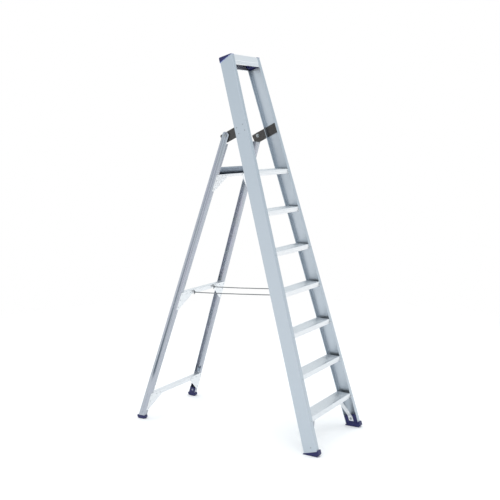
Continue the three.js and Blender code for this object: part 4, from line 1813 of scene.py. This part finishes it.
@dataclass
class CrossMember:
    """One rolled member between the legs, with a corner plate at each end."""

    axes: LeaningFrame
    legs: RearLegs
    name: str
    bottom: float
    height: float
    depth: float
    finish: Finish
    wall: float = 2.2 * MM
    lip: float = 0.0
    plate_across: float = 128 * MM
    plate_drop: float = 92 * MM
    plate_nose: float = 12 * MM
    plate_thick: float = 2.2 * MM

    def build(self) -> None:
        """Makes the member, its corner plates and their rivets."""
        loop = self.trough() if self.lip else self.folded()
        ends = [self.axes.side_spot(side, self.legs.flange + GAP) for side in Side]
        skin = Skin().prism([loop], ends, ACROSS)
        skin.piece(f"member_{self.name}", self.finish, self.axes.body, [f"cross_member_{self.name}"])
        for side in Side:
            self.corner_plate(side)
        # The top member's darker finish is painted shade for its trough; this strip keeps its lip in the
        # bright finish.
        if self.lip:
            strip = rectangle((-0.25 * MM, self.bottom + MM), (-0.05 * MM, self.bottom + self.lip - MM), 0.0)
            edge = Skin().prism([strip], ends, ACROSS)
            edge.piece(f"member_{self.name}_lip", BRIGHT, self.axes.body)

    def trough(self) -> Loop:
        """Draws a section that is open to the front, with its lower lip turned up.

        Returns:
            The outline, in depth and slope.
        """
        low, top, wall, deep = self.bottom, self.bottom + self.height, self.wall, self.depth
        drop = 6 * MM
        return rounded([
            (0.0, low, MM), (deep, low, 1.5 * MM), (deep, top, 1.5 * MM), (wall, top, 0.8 * MM),
            (wall, top - drop, 0.3 * MM), (0.0, top - drop, 0.5 * MM), (0.0, top - drop - wall, 0.5 * MM),
            (2 * wall, top - drop - wall, 0.8 * MM), (2 * wall, top - wall, 0.6 * MM),
            (deep - wall, top - wall, 0.6 * MM), (deep - wall, low + wall, 0.6 * MM),
            (wall, low + wall, 0.6 * MM), (wall, low + self.lip, 0.4 * MM), (0.0, low + self.lip, 0.4 * MM)])

    def folded(self) -> Loop:
        """Returns a section with its face to the front and both edges turned back."""
        low, top, wall, deep = self.bottom, self.bottom + self.height, self.wall, self.depth
        return rounded([
            (0.0, low, 2 * MM), (deep, low, 0.4 * MM), (deep, low + wall, 0.4 * MM), (wall, low + wall, MM),
            (wall, top - wall, MM), (deep, top - wall, 0.4 * MM), (deep, top, 0.4 * MM), (0.0, top, 2 * MM)])

    def corner_plate(self, side: Side) -> None:
        """Makes one corner plate on the front faces of a leg and the member, and rivets it on.

        Args:
            side: Which end.
        """
        reach, nose, low = self.plate_across, self.plate_nose, self.bottom
        top = low + (self.lip or self.height)
        foot = low - self.plate_drop
        inner = self.legs.flange - 2 * MM
        loop = rounded([
            (MM, top, 2 * MM), (MM, foot, 5 * MM), (inner, foot, 5 * MM), (reach, low, 10 * MM),
            (reach, low + nose, 4 * MM), (reach - nose, top, 4 * MM)])
        faces = [self.face_spot(side, depth) for depth in (-GAP - self.plate_thick, -GAP)]
        skin = Skin().prism([loop], faces, ACROSS).soften(0.5 * MM, 2, 50.0)
        skin.piece(
            f"corner_plate_{self.name}_{side.label}", BRIGHT, self.axes.body,
            [f"gusset_{self.name}_{side.label}"])
        rivets = Skin()
        leg_middle = self.legs.flange * 0.5
        rise = (top + low) / 2
        spots = [(leg_middle, foot + 16 * MM), (leg_middle, low - 24 * MM), (leg_middle, rise),
                 (reach * 0.52, rise), (reach * 0.82, rise)]
        for inset, slope in spots:
            seat = self.axes.beside(side, inset, -GAP - self.plate_thick, slope)
            rivets.rivet(seat, -self.axes.rear, 3.6 * MM, 1.5 * MM)
        for slope in (foot + 16 * MM, low - 24 * MM, rise):
            seat = self.axes.beside(side, 0.0, self.legs.depth / 2, slope)
            rivets.rivet(seat, self.axes.out(side), 3.6 * MM, 1.4 * MM)
        rivets.piece(f"corner_rivets_{self.name}_{side.label}", RIVET, self.axes.body)

    def face_spot(self, side: Side, depth: float) -> Placer:
        """Returns what places a point given in inset and slope at a depth."""
        return lambda inset, slope: self.axes.beside(side, inset, depth, slope)


def cross_members(axes: LeaningFrame, legs: RearLegs) -> list[CrossMember]:
    """Returns the rear frame's three members, from the top down."""
    return [
        # Painted shade: the top member's darker finish stands for the shade in its open trough.
        CrossMember(axes, legs, "top", 1.700, 57 * MM, 26 * MM, PAINTED_SHADE_ALUMINIUM, lip=18 * MM),
        CrossMember(axes, legs, "mid", 0.889, 30 * MM, 20 * MM, BRIGHT),
        CrossMember(axes, legs, "low", 0.155, 34 * MM, 20 * MM, BRIGHT),
    ]


def dress(node: str, finish: Finish) -> None:
    """Gives a carried-over CAD node its finish.

    Args:
        node: The node's name.
        finish: What it is made of.
    """
    thing = frame["nodes"][node]
    thing.data.materials.clear()
    thing.data.materials.append(finish.material())


def main() -> None:
    """Builds the ladder and its studio, piece by piece."""
    logging.basicConfig(level=logging.INFO, format="%(name)s: %(message)s")
    studio = Studio()
    studio.place_camera()
    RestraintCords().build()
    stiles = Stiles(FRONT)
    stiles.build()
    treads = Treads(FRONT, stiles)
    treads.build()
    Handrail(FRONT, stiles).build()
    FrontFeet(FRONT, stiles, treads).build()
    Hinges(FRONT, REAR, stiles).build()
    legs = RearLegs(REAR)
    legs.build()
    for member in cross_members(REAR, legs):
        member.build()
    studio.lay_floor()
    studio.light()
    studio.surround()
    studio.set_film()


if __name__ == "__main__":
    main()
